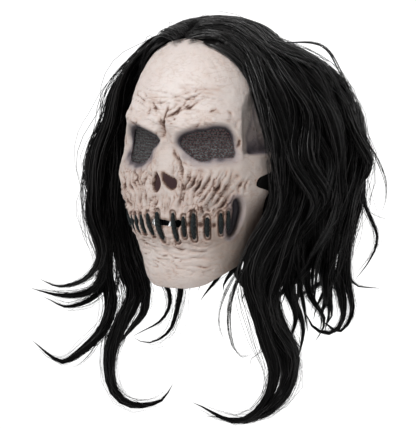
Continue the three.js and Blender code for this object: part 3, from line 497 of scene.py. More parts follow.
def column(rows, name, up):
    """Smooth curve through a table's column, by height."""
    ups = np.array([row["up"] for row in rows])
    values = np.array([row[name] for row in rows])
    before = np.maximum(np.arange(len(rows)) - 1, 0)
    after = np.minimum(np.arange(len(rows)) + 1, len(rows) - 1)
    slopes = (values[after] - values[before]) / (ups[after] - ups[before])
    up = np.clip(up, ups[0], ups[-1])
    i = np.clip(np.searchsorted(ups, up, side="right") - 1, 0, len(rows) - 2)
    gap = ups[i + 1] - ups[i]
    t = (up - ups[i]) / gap
    ease = t * t * (3 - 2 * t)
    bend = gap * t * (1 - t) * ((1 - t) * slopes[i] - t * slopes[i + 1])
    return values[i] * (1 - ease) + values[i + 1] * ease + bend


def form_radius(turn, z, inset):
    """Radius of the head form in a level plane."""
    rise = np.clip(np.maximum(z, 0) / (CROWN_RISE - inset), 0, 1)
    dome = (1 - rise**DOME_POWER) ** (1 / DOME_POWER)
    up = z / JAW_DROP
    width = column(SECTIONS, "width", up) * HALF_WIDTH - inset
    front = column(SECTIONS, "front", up) * FRONT_DEPTH - inset
    back = column(SECTIONS, "back", up) * BACK_DEPTH - inset
    depth = np.where(np.cos(turn) > 0, front, back)
    power = abs(np.sin(turn) / width) ** SECTION_POWER + abs(np.cos(turn) / depth) ** SECTION_POWER
    return dome * power ** (-1 / SECTION_POWER)


def broad_relief(around, z):
    """Rise of the skull's broad features over the form."""
    a = abs(around) / SIDE_REACH
    up = z / JAW_DROP
    rise = np.zeros_like(z)
    for f in FEATURES:
        along = ((up - f["up"]) / f["tall"]) ** 2
        rise += f["rise"] * RELIEF * np.exp(-(((a - f["around"]) / f["wide"]) ** 2) - along)
        if f["around"] > 0:
            rise += f["rise"] * RELIEF * np.exp(-(((a + f["around"]) / f["wide"]) ** 2) - along)
    rise -= TEMPLE_DEPTH * temple_hollow(around, z)
    return rise * (1 - step(1.15, 1.5, a))


def temple_hollow(around, z):
    """Where the sunken temple is, from 0 to 1."""
    a = abs(around) / SIDE_REACH
    up = z / JAW_DROP
    behind_ridge = step(0.775, 0.83, a)
    over_arch = step(-0.055, -0.005, up)
    under_temple = 1 - step(-0.1, 0.16, up - 0.26 - 1.2 * (a - 0.76))
    return behind_ridge * over_arch * under_temple


def on_form(around, z, radius):
    turn = around / WRAP_RADIUS
    return np.stack([radius * np.sin(turn), -radius * np.cos(turn), z], axis=-1)


def to_row(points):
    """Head-form millimetres to metres in the row frame."""
    return (np.asarray(points) + (0, 0, LOWERED)) * MM


def calm_edge(z):
    """How far round the face its side edge is, without the notch."""
    return column(FACE_EDGE, "reach", z / JAW_DROP) * SIDE_REACH


def notch_bite(z):
    """How far the notch at the cheek cuts into the side edge."""
    return NOTCH_DEPTH * np.exp(-(((z - NOTCH_UP) / NOTCH_HALF_HEIGHT) ** 4))


def curve_between(a, b, c, d, t):
    """The place a share t of the way from b to c, on a smooth curve through a, b, c and d."""
    bend = 2 * a - 5 * b + 4 * c - d
    twist = 3 * b - a - 3 * c + d
    return 0.5 * (2 * b + (c - a) * t + bend * t**2 + twist * t**3)


def smooth_outline(corners, between=6):
    """A closed smooth curve through an outline's corners."""
    p = np.array(corners, dtype=float)
    before, after, second = np.roll(p, 1, 0), np.roll(p, -1, 0), np.roll(p, -2, 0)
    curve = [curve_between(before, p, after, second, t) for t in np.arange(between) / between]
    return np.stack(curve, 1).reshape(-1, 2)


def outline_distance(outline, around, z):
    """Signed distance to an outline, below zero inside, and the nearest point on it."""
    best = np.full(around.shape, 1e9)
    nearest = np.zeros(around.shape + (2,))
    inside = np.zeros(around.shape, dtype=bool)
    for (ax, ay), (bx, by) in zip(outline, np.roll(outline, -1, 0)):
        dx, dy = bx - ax, by - ay
        t = np.clip(((around - ax) * dx + (z - ay) * dy) / (dx * dx + dy * dy), 0, 1)
        px, py = ax + t * dx, ay + t * dy
        d = np.hypot(around - px, z - py)
        closer = d < best
        best = np.where(closer, d, best)
        nearest[closer] = np.stack([px, py], -1)[closer]
        crossing = (ay > z) != (by > z)
        where = ax + (z - ay) * dx / (dy if dy else 1e-9)
        inside ^= crossing & (around < where)
    return np.where(inside, -best, best), nearest


def segment_distance(ax, ay, bx, by, x, y):
    dx, dy = bx - ax, by - ay
    t = np.clip(((x - ax) * dx + (y - ay) * dy) / max(dx * dx + dy * dy, 1e-9), 0, 1)
    return np.hypot(x - ax - t * dx, y - ay - t * dy), t


def crease_distance(row, side, x, y):
    """Distance to a bowed crease, as straight pieces, with the share along it."""
    start = np.array([row["from_around"] * side, row["from_up"]])
    end = np.array([row["to_around"] * side, row["to_up"]])
    across = np.array([start[1] - end[1], end[0] - start[0]])
    across = across / max(np.hypot(*across), 1e-9) * row["bow"] * side
    knots = [start + (end - start) * t + across * 4 * t * (1 - t) for t in (0, 0.25, 0.5, 0.75, 1)]
    best = np.full(x.shape, 1e9)
    share = np.zeros(x.shape)
    for k, (a, b) in enumerate(zip(knots, knots[1:])):
        d, t = segment_distance(*a, *b, x, y)
        closer = d < best
        best = np.where(closer, d, best)
        share = np.where(closer, (k + t) / 4, share)
    return best, share


EYES = [smooth_outline(LEFT_EYE), smooth_outline(RIGHT_EYE)]
NOSE_HOLES = [smooth_outline(LEFT_NOSE_HOLE), smooth_outline(RIGHT_NOSE_HOLE)]
SLIT = smooth_outline(LIP_SLIT)
CORNERS = [smooth_outline(MOUTH_CORNER), smooth_outline([(-x, y) for x, y in MOUTH_CORNER])]


def rough(points, scale, seed):
    """Smooth noise at places on the unwrapped face, about -1 to 1."""
    spot = [Vector((x / scale, y / scale, seed)) for x, y in points]
    return np.array([noise.noise(p) for p in spot]) * 1.6


def fine_lines(across, along, wide, long, seed):
    """Thin irregular lines drawn out along one direction, 0 to 1, and the swells between them."""
    swell = rough(np.stack([across / wide, along / long], -1), 1.0, seed)
    return np.clip(1 - 4.5 * abs(swell), 0, 1), swell


class Relief:
    """What the fine modelling adds at each point of the face: rise, a brown wash, painted grey shade and
    painted black shade.
    """

    def __init__(self, count):
        self.rise = np.zeros(count)
        self.wash = np.zeros(count)
        self.shade = np.zeros(count)
        self.black_shade = np.zeros(count)

    def paint(self, name, share):
        setattr(self, name, np.maximum(getattr(self, name), share))


def add_creases(face, x, y, wander):
    """Grooves with raised lips, and the wash that has gathered in them."""
    for row in CREASES:
        for side in (1, -1) if row["mirror"] else (1,):
            d, share = crease_distance(row, side, x, y)
            near = d < row["width"] * 5
            taper = (4 * share * (1 - share) + 0.15) ** 0.5 if row["width"] < 1.7 else 1.0
            taper = taper * np.clip(0.8 + 0.5 * wander, 0.15, 1.2)
            groove = bell(d, row["width"]) * taper
            lips = bell(d - 2.2 * row["width"], 1.2 * row["width"]) * taper
            face.rise += np.where(near, row["depth"] * (0.4 * lips - groove), 0)
            gathered = bell(d, 1.15 * row["width"]) * taper * min(row["depth"] / 1.6, 1.1)
            face.paint("wash", np.where(near, gathered, 0))


def add_sewn_lips(face, around, z, wobble, wander):
    """Grooves with rims for the stitches, pits between them, and wash along the lips."""
    for row in STITCHES:
        top = (row["top"] * SIDE_REACH, row["top_up"] * JAW_DROP)
        foot = (row["foot"] * SIDE_REACH, row["foot_up"] * JAW_DROP)
        d, _ = segment_distance(*top, *foot, around, z)
        edge = d - row["radius"]
        face.rise += -1.3 * step(1.2, -0.6, edge) + 1.5 * bell(edge - 2.0, 1.3)
        face.paint("wash", 0.95 * bell(edge - 0.3, 1.4))
        face.paint("wash", 0.36 * bell(edge - 3.0, 4.5) * np.clip(0.7 + 0.8 * wobble, 0, 1.3))
    for row in PITS:
        pit = bell(np.hypot((around - row["around"]) / row["wide"], (z - row["up"]) / row["tall"]), 1)
        face.rise -= row["depth"] * pit
        face.paint("wash", 1.25 * pit)
    lips = bell(z - LIPS_UP, 5) * (abs(around) < 68)
    face.paint("wash", 0.62 * lips * step(-0.8, 0.8, wobble))
    around_mouth = bell((z + 62) / 26, 1) * step(82, 50, abs(around))
    face.paint("wash", 0.26 * around_mouth * np.clip(0.6 + 1.2 * wander + 0.5 * wobble, 0, 1.5))


def add_opening_rims(face, around, z, wander):
    """Rims of the eye and nose holes and the lip slit, the mouth's sunken corners, their brown wash and
    painted shade.
    """
    for eye in EYES:
        d, _ = outline_distance(eye, around, z)
        over = step(-2, 12, z - 0.12 * (abs(around) - 40))
        face.rise += -1.8 * step(8, 0, d) + 0.5 * bell(d - 1.0, 1.0)
        face.rise += over * (2.4 * bell(d - 6.0, 3.2) - 1.6 * step(2.5, 0, d))
        # painted black shade under the brow's overhang, along the top of the eye hole
        face.paint("black_shade", over * step(5, 1.2, d) * (0.7 + 0.25 * wander))
        # painted grey shade in the socket, wider below the eye, and at the rim and under the brow
        below = step(4, -8, z)
        socket = step(6.5 + 4 * below, 0.0, d)
        face.paint("shade", (0.75 + 0.35 * below) * socket * (0.85 + 0.3 * wander))
        face.paint("shade", 0.9 * bell(d - 0.3, 1.3) + 0.75 * over * step(6.5, 1.0, d))
    for hole in NOSE_HOLES:
        d, _ = outline_distance(hole, around, z)
        face.rise += -1.2 * step(2.5, 0, d) + 0.7 * bell(d - 3.4, 1.5)
        face.paint("wash", 1.1 * bell(d - 0.4, 1.7))
    d, _ = outline_distance(SLIT, around, z)
    face.rise += -1.4 * step(3, 0, d)
    face.paint("wash", 0.62 * bell(d - 1.2, 1.8))
    for corner in CORNERS:
        d, _ = outline_distance(corner, around, z)
        face.rise += -7.5 * step(1.8, -3.6, d) + 1.0 * bell(d - 3.6, 2.0)
        # painted black shade deep in the corner, painted grey shade round it
        face.paint("black_shade", step(1.6, -2.0, d))
        face.paint("shade", 0.7 * bell(d - 1.8, 2.4) * (0.8 + 0.3 * wander))


def shade_temples(face, around, z, wander):
    """Grey shading in the temple's hollow, darkest low down, in front and at its rim."""
    hollow = temple_hollow(around, z)
    rim = step(0.02, 0.25, hollow) * (1 - step(0.75, 0.98, hollow))
    low = step(20, 0, z)
    leaning = abs(around) - 0.5 * np.maximum(z - 14, 0)
    front = step(94, 83, leaning)
    slant = step(-1.5, 3.5, leaning - 84)
    strength = 0.34 + 0.6 * np.maximum(low, front) + 0.1 * wander
    face.paint("shade", hollow * slant * strength + 0.45 * rim * slant)


def add_flesh(face, x, y, wobble):
    """Strands of flesh that fan down from the cheekbones to the stitches."""
    fan = x / (1 + 0.011 * (y + 57))
    flesh = step(-13, -24, y) * step(-66, -58, y) * step(78, 62, abs(x))
    flesh *= step(11, 17, abs(x) + 0.8 * np.maximum(-36 - y, 0))
    flesh = np.maximum(flesh, bell((abs(x) - 14) / 6, 1) * bell((y + 18) / 15, 1))
    for wide, long, deep, seed in ((6.0, 28, 1.9, 1.3), (3.2, 16, 1.1, 4.4)):
        lines, swell = fine_lines(fan, y, wide, long, seed)
        face.rise += flesh * deep * (0.9 * swell - lines)
        face.paint("wash", flesh * (0.3 + 0.36 * deep) * lines * (0.75 + 0.5 * wobble))


def add_wrinkles(face, x, y, wander):
    """Fine wrinkles across the chin and the forehead."""
    for row in WRINKLED:
        place = bell((y - row["up"]) / row["tall"], 1) * step(row["reach"], 0.6 * row["reach"], abs(x))
        lines, swell = fine_lines(y + 0.12 * x, x, row["wide"], row["long"], row["seed"])
        face.rise += place * (0.9 * swell - 1.6 * lines)
        face.paint("wash", 0.9 * place * lines * (0.7 + 0.6 * wander))


def fine_relief(around, z):
    """Rise of the fine features, and how strong the wash, the painted grey shade and the painted black
    shade are.
    """
    flat = np.stack([around, z], -1)
    wobble = rough(flat, 5.0, 3.1)
    wander = rough(flat, 9.0, 7.7)
    x = around + 0.7 * wobble
    y = z + 0.7 * wander
    face = Relief(len(z))
    add_creases(face, x, y, wander)
    add_sewn_lips(face, around, z, wobble, wander)
    add_opening_rims(face, around, z, wander)
    shade_temples(face, around, z, wander)
    add_flesh(face, x, y, wobble)
    add_wrinkles(face, x, y, wander)
    face.rise += 0.22 * wobble + 0.25 * wander
    face.rise += 0.10 * rough(flat, 2.1, 5.5)
    return face


def skin(around, z, inset=0.0):
    """Points of the finished face, without the finest wrinkles."""
    radius = form_radius(around / WRAP_RADIUS, z, inset) + broad_relief(around, z)
    return on_form(around, z, radius)


class Wire:
    """A node's output that Python's operators work on."""

    def __init__(self, tree, socket):
        self.tree = tree
        self.socket = socket

    def maths(self, operation, *values):
        node = self.tree.nodes.new("ShaderNodeMath")
        node.operation = operation
        for place, value in zip(node.inputs, values):
            plug(self.tree, place, value)
        return Wire(self.tree, node.outputs[0])

    def __add__(self, other):
        return self.maths("ADD", self, other)

    def __sub__(self, other):
        return self.maths("SUBTRACT", self, other)

    def __rsub__(self, other):
        return self.maths("SUBTRACT", other, self)

    def __mul__(self, other):
        return self.maths("MULTIPLY", self, other)

    def __truediv__(self, other):
        return self.maths("DIVIDE", self, other)

    def __rtruediv__(self, other):
        return self.maths("DIVIDE", other, self)

    def __pow__(self, other):
        return self.maths("POWER", self, other)

    def __rpow__(self, other):
        return self.maths("POWER", other, self)

    def __abs__(self):
        return self.maths("ABSOLUTE", self)

    def limited(self, low=0.0, high=1.0):
        return self.maths("MINIMUM", self.maths("MAXIMUM", self, low), high)

    __radd__ = __add__
    __rmul__ = __mul__


def plug(tree, place, value):
    if isinstance(value, Wire):
        tree.links.new(value.socket, place)
    else:
        place.default_value = value


class Finish:
    """A material and the nodes that make it."""

    def __init__(self, name):
        self.material = bpy.data.materials.new(name)
        self.material.use_nodes = True
        self.tree = self.material.node_tree
        self.surface = self.tree.nodes["Principled BSDF"]

    def node(self, kind, settings, inputs, output=0):
        node = self.tree.nodes.new(kind)
        for name, value in settings.items():
            setattr(node, name, value)
        for place, value in inputs.items():
            plug(self.tree, node.inputs[place], value)
        return Wire(self.tree, node.outputs[output])

    def place(self):
        return self.node("ShaderNodeTexCoord", {}, {}, "Object")

    def attribute(self, name):
        return self.node("ShaderNodeAttribute", {"attribute_name": name}, {}, "Fac")

    def noise(self, scale, detail=3.0, stretch=None, where=None):
        where = where or self.place()
        if stretch:
            where = self.node("ShaderNodeVectorMath", {"operation": "MULTIPLY"}, {0: where, 1: stretch})
        return self.node("ShaderNodeTexNoise", {}, {"Vector": where, "Scale": scale, "Detail": detail})

    def mix(self, factor, first, second):
        inputs = {0: factor, 6: first, 7: second}
        return self.node("ShaderNodeMix", {"data_type": "RGBA"}, inputs, 2)

    def bump(self, height, strength, distance):
        inputs = {"Height": height, "Strength": strength, "Distance": distance}
        return self.node("ShaderNodeBump", {}, inputs)

    def set(self, **inputs):
        for name, value in inputs.items():
            plug(self.tree, self.surface.inputs[name.replace("_", " ")], value)
        return self.material


def spread(noise_wire, low, high):
    """Stretches the middle of a noise to the range 0 to 1."""
    return ((noise_wire - low) * (1 / (high - low))).limited()


def painted_latex():
    f = Finish("painted_latex")
    cloudy = spread(f.noise(22.0, 4.0), 0.35, 0.65)
    specks = spread(f.noise(420.0, 2.0), 0.66, 0.76)
    smudge = spread(f.noise(75.0, 5.0), 0.52, 0.75)
    fine = f.noise(1400.0, 3.0)
    tint = f.mix(cloudy, BONE_DIM, BONE_PALE)
    patina_and_shade = f.attribute("patina_and_shade")
    # browner low on the face and toward the back of the wearer's left side: partly patina, partly painted
    # shade where the face turns from the key light
    tint = f.mix((patina_and_shade * (0.75 + 0.45 * cloudy)).limited(), tint, PATINA_AND_SHADE_BROWN)
    tint = f.mix(smudge * 0.34, tint, SMUDGE_TAN)
    tint = f.mix(specks * 0.3, tint, SPECK_BROWN)
    # thin creases all over, in which the paint has gathered
    folds = f.noise(130.0, 3.0, (0.6, 0.6, 1.3))
    crazed = (1 - abs(folds - 0.5) * 22).limited()
    crazed = crazed * spread(f.noise(34.0, 2.0), 0.34, 0.56)
    painted_wash = f.attribute("wash") * (0.7 + 0.5 * f.noise(260.0, 2.0))
    wash = (painted_wash + crazed * (0.2 + 0.3 * patina_and_shade)).limited()
    tint = f.mix((wash * 0.95).limited(), tint, WASH_BROWN)
    tint = f.mix(((wash - 0.45) * 1.9).limited(), tint, WASH_DEEP)
    shade = (f.attribute("shade") * (0.75 + 0.4 * f.noise(120.0, 4.0))).limited()
    tint = f.mix((shade * 1.1).limited(), tint, SHADE_GREY)
    tint = f.mix(((shade - 0.6) * 2.2).limited(), tint, SHADE_DEEP)
    # dark brown at the back of the jaw, partly paint and partly painted shade where it turns under
    tint = f.mix(f.attribute("jaw_brown_and_shade") * (0.75 + 0.5 * smudge), tint, JAW_BROWN_AND_SHADE)
    # painted black shade under the brows and deep in the mouth's corners
    tint = f.mix(f.attribute("black_shade"), tint, SHADE_BLACK)
    grain = f.noise(2600.0, 2.0) * 0.5 + fine + 0.8 * smudge - 1.2 * crazed
    return f.set(
        Base_Color=tint,
        Roughness=(0.5 + 0.12 * cloudy + 0.15 * wash).limited(0.3, 0.85),
        Normal=f.bump(grain, 0.35, 0.0006),
        Subsurface_Weight=0.06,
        Subsurface_Radius=(0.004, 0.002, 0.0012),
        Subsurface_Scale=0.5,
        Specular_IOR_Level=0.4,
    )


def bare_latex():
    """The unpainted inside, which glows a little so that the nose holes aren't black."""
    f = Finish("bare_latex")
    tint = f.mix(f.noise(60.0, 4.0), (0.1, 0.06, 0.062, 1), (0.14, 0.085, 0.088, 1))
    f.set(Base_Color=tint, Roughness=0.6, Normal=f.bump(f.noise(900.0), 0.3, 0.0005))
    return f.set(Emission_Color=tint, Emission_Strength=0.35)


def net_finish():
    f = Finish("eye_net")
    # dark threads with lighter grey patches: partly the threads' own tone, partly painted glints
    tint = f.mix(spread(f.noise(520.0, 1.0), 0.42, 0.6), (0.025, 0.025, 0.026, 1), (0.115, 0.125, 0.125, 1))
    weave = f.bump(f.noise(2500.0), 0.3, 0.0003)
    return f.set(Base_Color=tint, Roughness=0.5, Metallic=0.2, Specular_IOR_Level=0.2, Normal=weave)


def cord_finish():
    f = Finish("stitch_cord")
    fibres = f.noise(2200.0, 3.0)
    # the lighter fibres are a painted highlight along the plies
    tint = f.mix(spread(fibres, 0.48, 0.7), (0.0015, 0.002, 0.002, 1), (0.06, 0.078, 0.08, 1))
    twist = f.bump(fibres, 0.8, 0.0008)
    return f.set(Base_Color=tint, Roughness=0.5, Specular_IOR_Level=0.12, Normal=twist)


def cloth_finish():
    f = Finish("cap_cloth")
    weave = f.noise(1500.0, 1.0, (1, 1, 3))
    tint = f.mix(weave, (0.002, 0.002, 0.002, 1), (0.006, 0.0055, 0.0055, 1))
    threads = f.bump(weave, 0.6, 0.0006)
    return f.set(Base_Color=tint, Roughness=0.95, Specular_IOR_Level=0.04, Normal=threads)


def hair_finish():
    f = Finish("hair_strand")
    each = f.attribute("strand")
    # lighter strands are partly each strand's own tone and partly a painted highlight
    tint = f.mix(each, (0.001, 0.001, 0.001, 1), (0.032, 0.03, 0.03, 1))
    return f.set(
        Base_Color=tint,
        Roughness=0.4,
        Specular_IOR_Level=0.08,
        Coat_Weight=(0.01 + 0.7 * each).limited(),
        Coat_Roughness=0.32,
    )


def hair_mass_finish():
    """Hair too dense to show as single strands: fibres drawn out along each lock."""
    f = Finish("hair_mass")
    inputs = {"X": f.attribute("across"), "Y": f.attribute("along") * 0.035}
    fibres = f.noise(1.1, 3.0, where=f.node("ShaderNodeCombineXYZ", {}, inputs))
    tint = f.mix(spread(fibres, 0.35, 0.7), (0.0008, 0.0008, 0.0009, 1), (0.006, 0.0056, 0.0056, 1))
    return f.set(
        Base_Color=tint,
        Roughness=0.42,
        Specular_IOR_Level=0.03,
        Coat_Weight=(0.16 * spread(fibres, 0.5, 0.7)).limited(),
        Coat_Roughness=0.35,
        Normal=f.bump(fibres, 1.0, 0.0012),
    )


def link(name, mesh, materials):
    """Puts a finished mesh into the scene as a piece that rides with the part."""
    piece = bpy.data.objects.new(name, mesh)
    bpy.context.scene.collection.objects.link(piece)
    for material in materials:
        mesh.materials.append(material)
    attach(piece, "root")
    return piece


def store_values(bm, values):
    """Stores named numbers on a bmesh's points, for the finishes to read."""
    layers = {name: bm.verts.layers.float.new(name) for name in values}
    for name, numbers in values.items():
        for vertex, number in zip(bm.verts, numbers):
            vertex[layers[name]] = number


def finish_mesh(bm, name):
    """A smooth mesh from a bmesh."""
    mesh = bpy.data.meshes.new(name)
    bm.to_mesh(mesh)
    bm.free()
    mesh.polygons.foreach_set("use_smooth", [True] * len(mesh.polygons))
    return mesh


def thicken(piece, wall, offset=-1.0, inner_material=0):
    solidify = piece.modifiers.new("wall", "SOLIDIFY")
    solidify.thickness = wall * MM
    solidify.offset = offset
    solidify.use_even_offset = False
    solidify.material_offset = inner_material
    return piece


def unit_grid(across, up):
    """A bmesh grid with its points' places from -1 to 1 across and 0 to 1 up."""
    bm = bmesh.new()
    bmesh.ops.create_grid(bm, x_segments=across, y_segments=up, size=1)
    bm.verts.ensure_lookup_table()
    places = np.array([v.co[:2] for v in bm.verts])
    return bm, places[:, 0], (places[:, 1] + 1) / 2


def place_points(bm, points):
    for vertex, point in zip(bm.verts, to_row(points)):
        vertex.co = point


def build_face():
    bm, u, share = unit_grid(FACE_ACROSS, FACE_UP)
    z = EDGE_BOTTOM + (EDGE_TOP - EDGE_BOTTOM) * (share - 0.02 * np.sin(2 * np.pi * share))
    around = u * calm_edge(z) - np.sign(u) * notch_bite(z) * abs(u) ** 5
    cut = set()
    for outline in (*EYES, *NOSE_HOLES, SLIT):
        distance, nearest = outline_distance(outline, around, z)
        gone = []
        for face in bm.faces:
            corners = [v.index for v in face.verts]
            middle = sum(distance[i] for i in corners) / 4
            if middle < 0:
                gone.append(face)
        edge = {v.index for face in gone for v in face.verts}
        kept = [i for i in edge if abs(distance[i]) < 1.6]
        around[kept] = nearest[kept, 0]
        z[kept] = nearest[kept, 1]
        cut.update(gone)
    relief = fine_relief(around, z)
    radius = form_radius(around / WRAP_RADIUS, z, 0) + broad_relief(around, z) + relief.rise
    # dark brown at the back of the lower jaw: partly brown paint, partly painted shade where the jaw turns
    # under and away from the light
    jaw_brown_and_shade = step(80, 106, abs(around) + 0.12 * (-60 - z)) * step(-36, -62, z)
    hairline = step(9, 0, calm_edge(z) - abs(around)) * step(-20, 30, z)
    relief.paint("shade", 0.14 * hairline)
    place_points(bm, on_form(around, z, radius))
    # browner low on the face and toward the back of the wearer's left side: partly patina, partly painted
    # shade where the face turns from the key light
    beside = step(15, 85, around)
    patina_and_shade = 0.36 * step(42, 8, z) + 0.3 * beside + 0.6 * beside * step(-45, -80, z)
    paints = {name: np.clip(getattr(relief, name), 0, 1) for name in ("wash", "shade", "black_shade")}
    store_values(bm, {**paints, "jaw_brown_and_shade": jaw_brown_and_shade, "patina_and_shade": patina_and_shade})
    bmesh.ops.delete(bm, geom=list(cut), context="FACES")
    mesh = finish_mesh(bm, "face_skin")
    face = link("face_skin", mesh, [painted_latex(), bare_latex()])
    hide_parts("face_shell")
    return thicken(face, SHELL_WALL, inner_material=1)


def build_net(side, outline, finish):
    """A sheet of six-sided cells, each with its hole, bent behind the eye hole."""
    reach = NET_PITCH / math.sqrt(3)
    bm = bmesh.new()
    middle = outline.mean(0)
    for row in range(-9, 10):
        for place in range(-12, 13):
            spot = middle + ((place + 0.5 * (row % 2)) * NET_PITCH, row * reach * 1.5)
            d, _ = outline_distance(outline, *np.array(spot)[:, None])
            if d[0] < NET_MARGIN:
                turn = Matrix.Translation((*spot, 0)) @ Matrix.Rotation(math.radians(30), 4, "Z")
                bmesh.ops.create_circle(bm, cap_ends=True, segments=6, radius=reach, matrix=turn)
    bmesh.ops.remove_doubles(bm, verts=bm.verts, dist=0.05)
    cells = list(bm.faces)
    bmesh.ops.inset_individual(bm, faces=cells, thickness=NET_THREAD, use_even_offset=True)
    bmesh.ops.delete(bm, geom=cells, context="FACES")
    flat = np.array([v.co[:2] for v in bm.verts])
    inset = SHELL_WALL + PIECE_GAP
    surround = broad_relief(flat[:, 0], flat[:, 1]) - NET_BEHIND
    radius = form_radius(flat[:, 0] / WRAP_RADIUS, flat[:, 1], inset) + surround
    place_points(bm, on_form(flat[:, 0], flat[:, 1], radius))
    bmesh.ops.recalc_face_normals(bm, faces=bm.faces)
    net = link("perforated_net_" + side, finish_mesh(bm, "net_" + side), [finish])
    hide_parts("eye_net_" + side)
    return thicken(net, NET_WALL, offset=0)


def frames_along(path, outward):
    """Unit directions along a path, across it and out of it."""
    along = np.gradient(path, axis=0)
    along /= np.linalg.norm(along, axis=1, keepdims=True) + 1e-9
    lifts = []
    lift = np.array(outward, dtype=float)
    for direction in along:
        lift = lift - direction * lift.dot(direction)
        lift /= np.linalg.norm(lift) + 1e-9
        lifts.append(lift)
    lifts = np.array(lifts)
    return along, np.cross(along, lifts), lifts


def add_tube(bm, centre, sides_of_ring):
    """A closed tube in a bmesh through rings of points, drawn to the middle line's two ends."""
    tip = bm.verts.new(to_row(centre[0]))
    last = None
    for ring in sides_of_ring[1:-1]:
        points = [bm.verts.new(p) for p in to_row(ring)]
        for a in range(len(points)):
            b = (a + 1) % len(points)
            if last is None:
                bm.faces.new((tip, points[b], points[a]))
            else:
                bm.faces.new((last[a], last[b], points[b], points[a]))
        last = points
    end = bm.verts.new(to_row(centre[-1]))
    for a in range(len(last)):
        b = (a + 1) % len(last)
        bm.faces.new((last[a], last[b], end))


def build_stitch(number, row, finish):
    """Three twisted plies laid in their groove."""
    steps = 30
    t = np.linspace(0, 1, steps)
    around = (row["top"] + (row["foot"] - row["top"]) * t) * SIDE_REACH
    z = (row["top_up"] + (row["foot_up"] - row["top_up"]) * t) * JAW_DROP
    path = skin(around, z)
    outward = on_form(around, z, np.ones(steps))
    outward[:, 2] = 0
    bow = 0.25 + 0.75 * np.sin(np.pi * t) ** 0.5
    path = path + outward * (row["radius"] * (0.95 * bow - 0.35))[:, None]
    _, side, lift = frames_along(path, outward[0])
    plump = row["radius"] * (0.35 + 0.65 * np.sin(np.pi * t) ** 0.45)
    bm = bmesh.new()
    for ply in range(3):
        twist = 2 * np.pi * (ply / 3 + t * abs(z[-1] - z[0]) / 11)
        off_middle = np.cos(twist)[:, None] * side + np.sin(twist)[:, None] * lift
        centre = path + (0.46 * plump)[:, None] * off_middle
        rings = []
        for k in range(9):
            angle = 2 * np.pi * k / 9
            offset = math.cos(angle) * side + math.sin(angle) * lift
            rings.append(centre + (0.6 * plump)[:, None] * offset)
        add_tube(bm, centre, np.stack(rings, 1))
    bmesh.ops.recalc_face_normals(bm, faces=bm.faces)
    name = f"stitch_cord_{number:02d}"
    stitch = link(name, finish_mesh(bm, name), [finish])
    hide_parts(f"stitch_{number:02d}")
    return stitch


def build_sheet_behind(name, across, up, depth_at, front_edge, finish, node):
    """A sheet over the back of the head from the front edge round."""
    bm, u, share = unit_grid(across, up)
    climb = np.sin(share * np.pi / 2)
    level = -CAP_DROP + (CROWN_RISE + CAP_DROP) * climb
    front = np.maximum(front_edge(level), 0)
    half = np.pi * WRAP_RADIUS
    around = front + (2 * half - 2 * front) * (u + 1) / 2
    over = 2 * np.maximum(level - EDGE_TOP, 0)
    depth = depth_at(np.minimum(around, 2 * half - around) - front + over)
    z = -CAP_DROP + (CROWN_RISE - depth + CAP_DROP) * climb
    signed = np.where(around > half, around - 2 * half, around)
    radius = form_radius(signed / WRAP_RADIUS, z, depth) + broad_relief(signed, z)
    place_points(bm, on_form(signed, z, radius))
    store_values(bm, {"across": signed, "along": z})
    bmesh.ops.remove_doubles(bm, verts=bm.verts, dist=0.05 * MM)
    piece = link(name, finish_mesh(bm, name), [finish])
    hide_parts(node)
    return piece


def smooth_path(points, count):
    """Even points on a smooth curve through chosen points."""
    p = np.asarray(points, dtype=float)
    ends = np.concatenate([[2 * p[0] - p[1]], p, [2 * p[-1] - p[-2]]])
    curve = []
    for a, b, c, d in zip(ends, ends[1:], ends[2:], ends[3:]):
        curve.extend(curve_between(a, b, c, d, t) for t in np.arange(12) / 12)
    curve = np.array(curve + [p[-1]])
    run = np.concatenate([[0], np.cumsum(np.linalg.norm(np.diff(curve, axis=0), axis=1))])
    even = np.linspace(0, run[-1], count)
    return np.stack([np.interp(even, run, curve[:, k]) for k in range(3)], -1)


def clear_of_head(points, clearance):
    """Pushes points out of the head form."""
    turn = np.arctan2(points[..., 0], -points[..., 1])
    level = np.hypot(points[..., 0], points[..., 1]) + 1e-6
    z = np.minimum(points[..., 2], CROWN_RISE + clearance)
    needed = form_radius(turn, z, -clearance)
    grow = np.where((points[..., 2] > EDGE_BOTTOM) & (level < needed), needed / level, 1)
    return points * np.stack([grow, grow, np.ones_like(grow)], -1)


def scalp_point(x, y, lift):
    """The place over the scalp's dome, in plan at x and y."""
    turn = math.atan2(x, -y)
    share = min(math.hypot(x, y) / float(form_radius(turn, np.float64(0), -lift)), 0.999)
    return (x, y, (CROWN_RISE + lift) * (1 - share**DOME_POWER) ** (1 / DOME_POWER))


def combed(turn_degrees, root_up, lift, part):
    """The way from the parting over the scalp to a root."""
    turn = math.radians(turn_degrees)
    z = root_up * CROWN_RISE
    radius = float(form_radius(turn, np.float64(z), -lift))
    root = np.array([radius * math.sin(turn), -radius * math.cos(turn)])
    behind = (180 - abs(turn_degrees - 180)) / 180
    start = np.array([0.0, -52 + 95 * step(0.33, 1.0, behind) + part])
    way = []
    for share in (0.03, 0.3, 0.62):
        x, y = start + (root - start) * share
        way.append(scalp_point(x, y, lift))
    return way + [(*root, z)]


def along_hairline(side, behind, lift):
    """The way from the parting down beside the face's edge, a distance behind it."""
    way = []
    for t in np.linspace(0, 1, 12):
        z = np.float64(EDGE_TOP - 3 - (EDGE_TOP + 62) * t**1.25)
        around = side * (calm_edge(z) + PIECE_GAP + behind * (0.5 + 1.3 * t))
        raised = lift * (0.6 + 0.8 * t)
        radius = form_radius(around / WRAP_RADIUS, z, -raised) + broad_relief(around, z)
        way.append(on_form(around, z, radius))
    return smooth_path(way, CORE_STEPS)


def curtain_value(name, turn):
    """A column of the curtain's table, between its rows."""
    return float(np.interp(turn, [r["turn"] for r in CURTAIN], [r[name] for r in CURTAIN]))


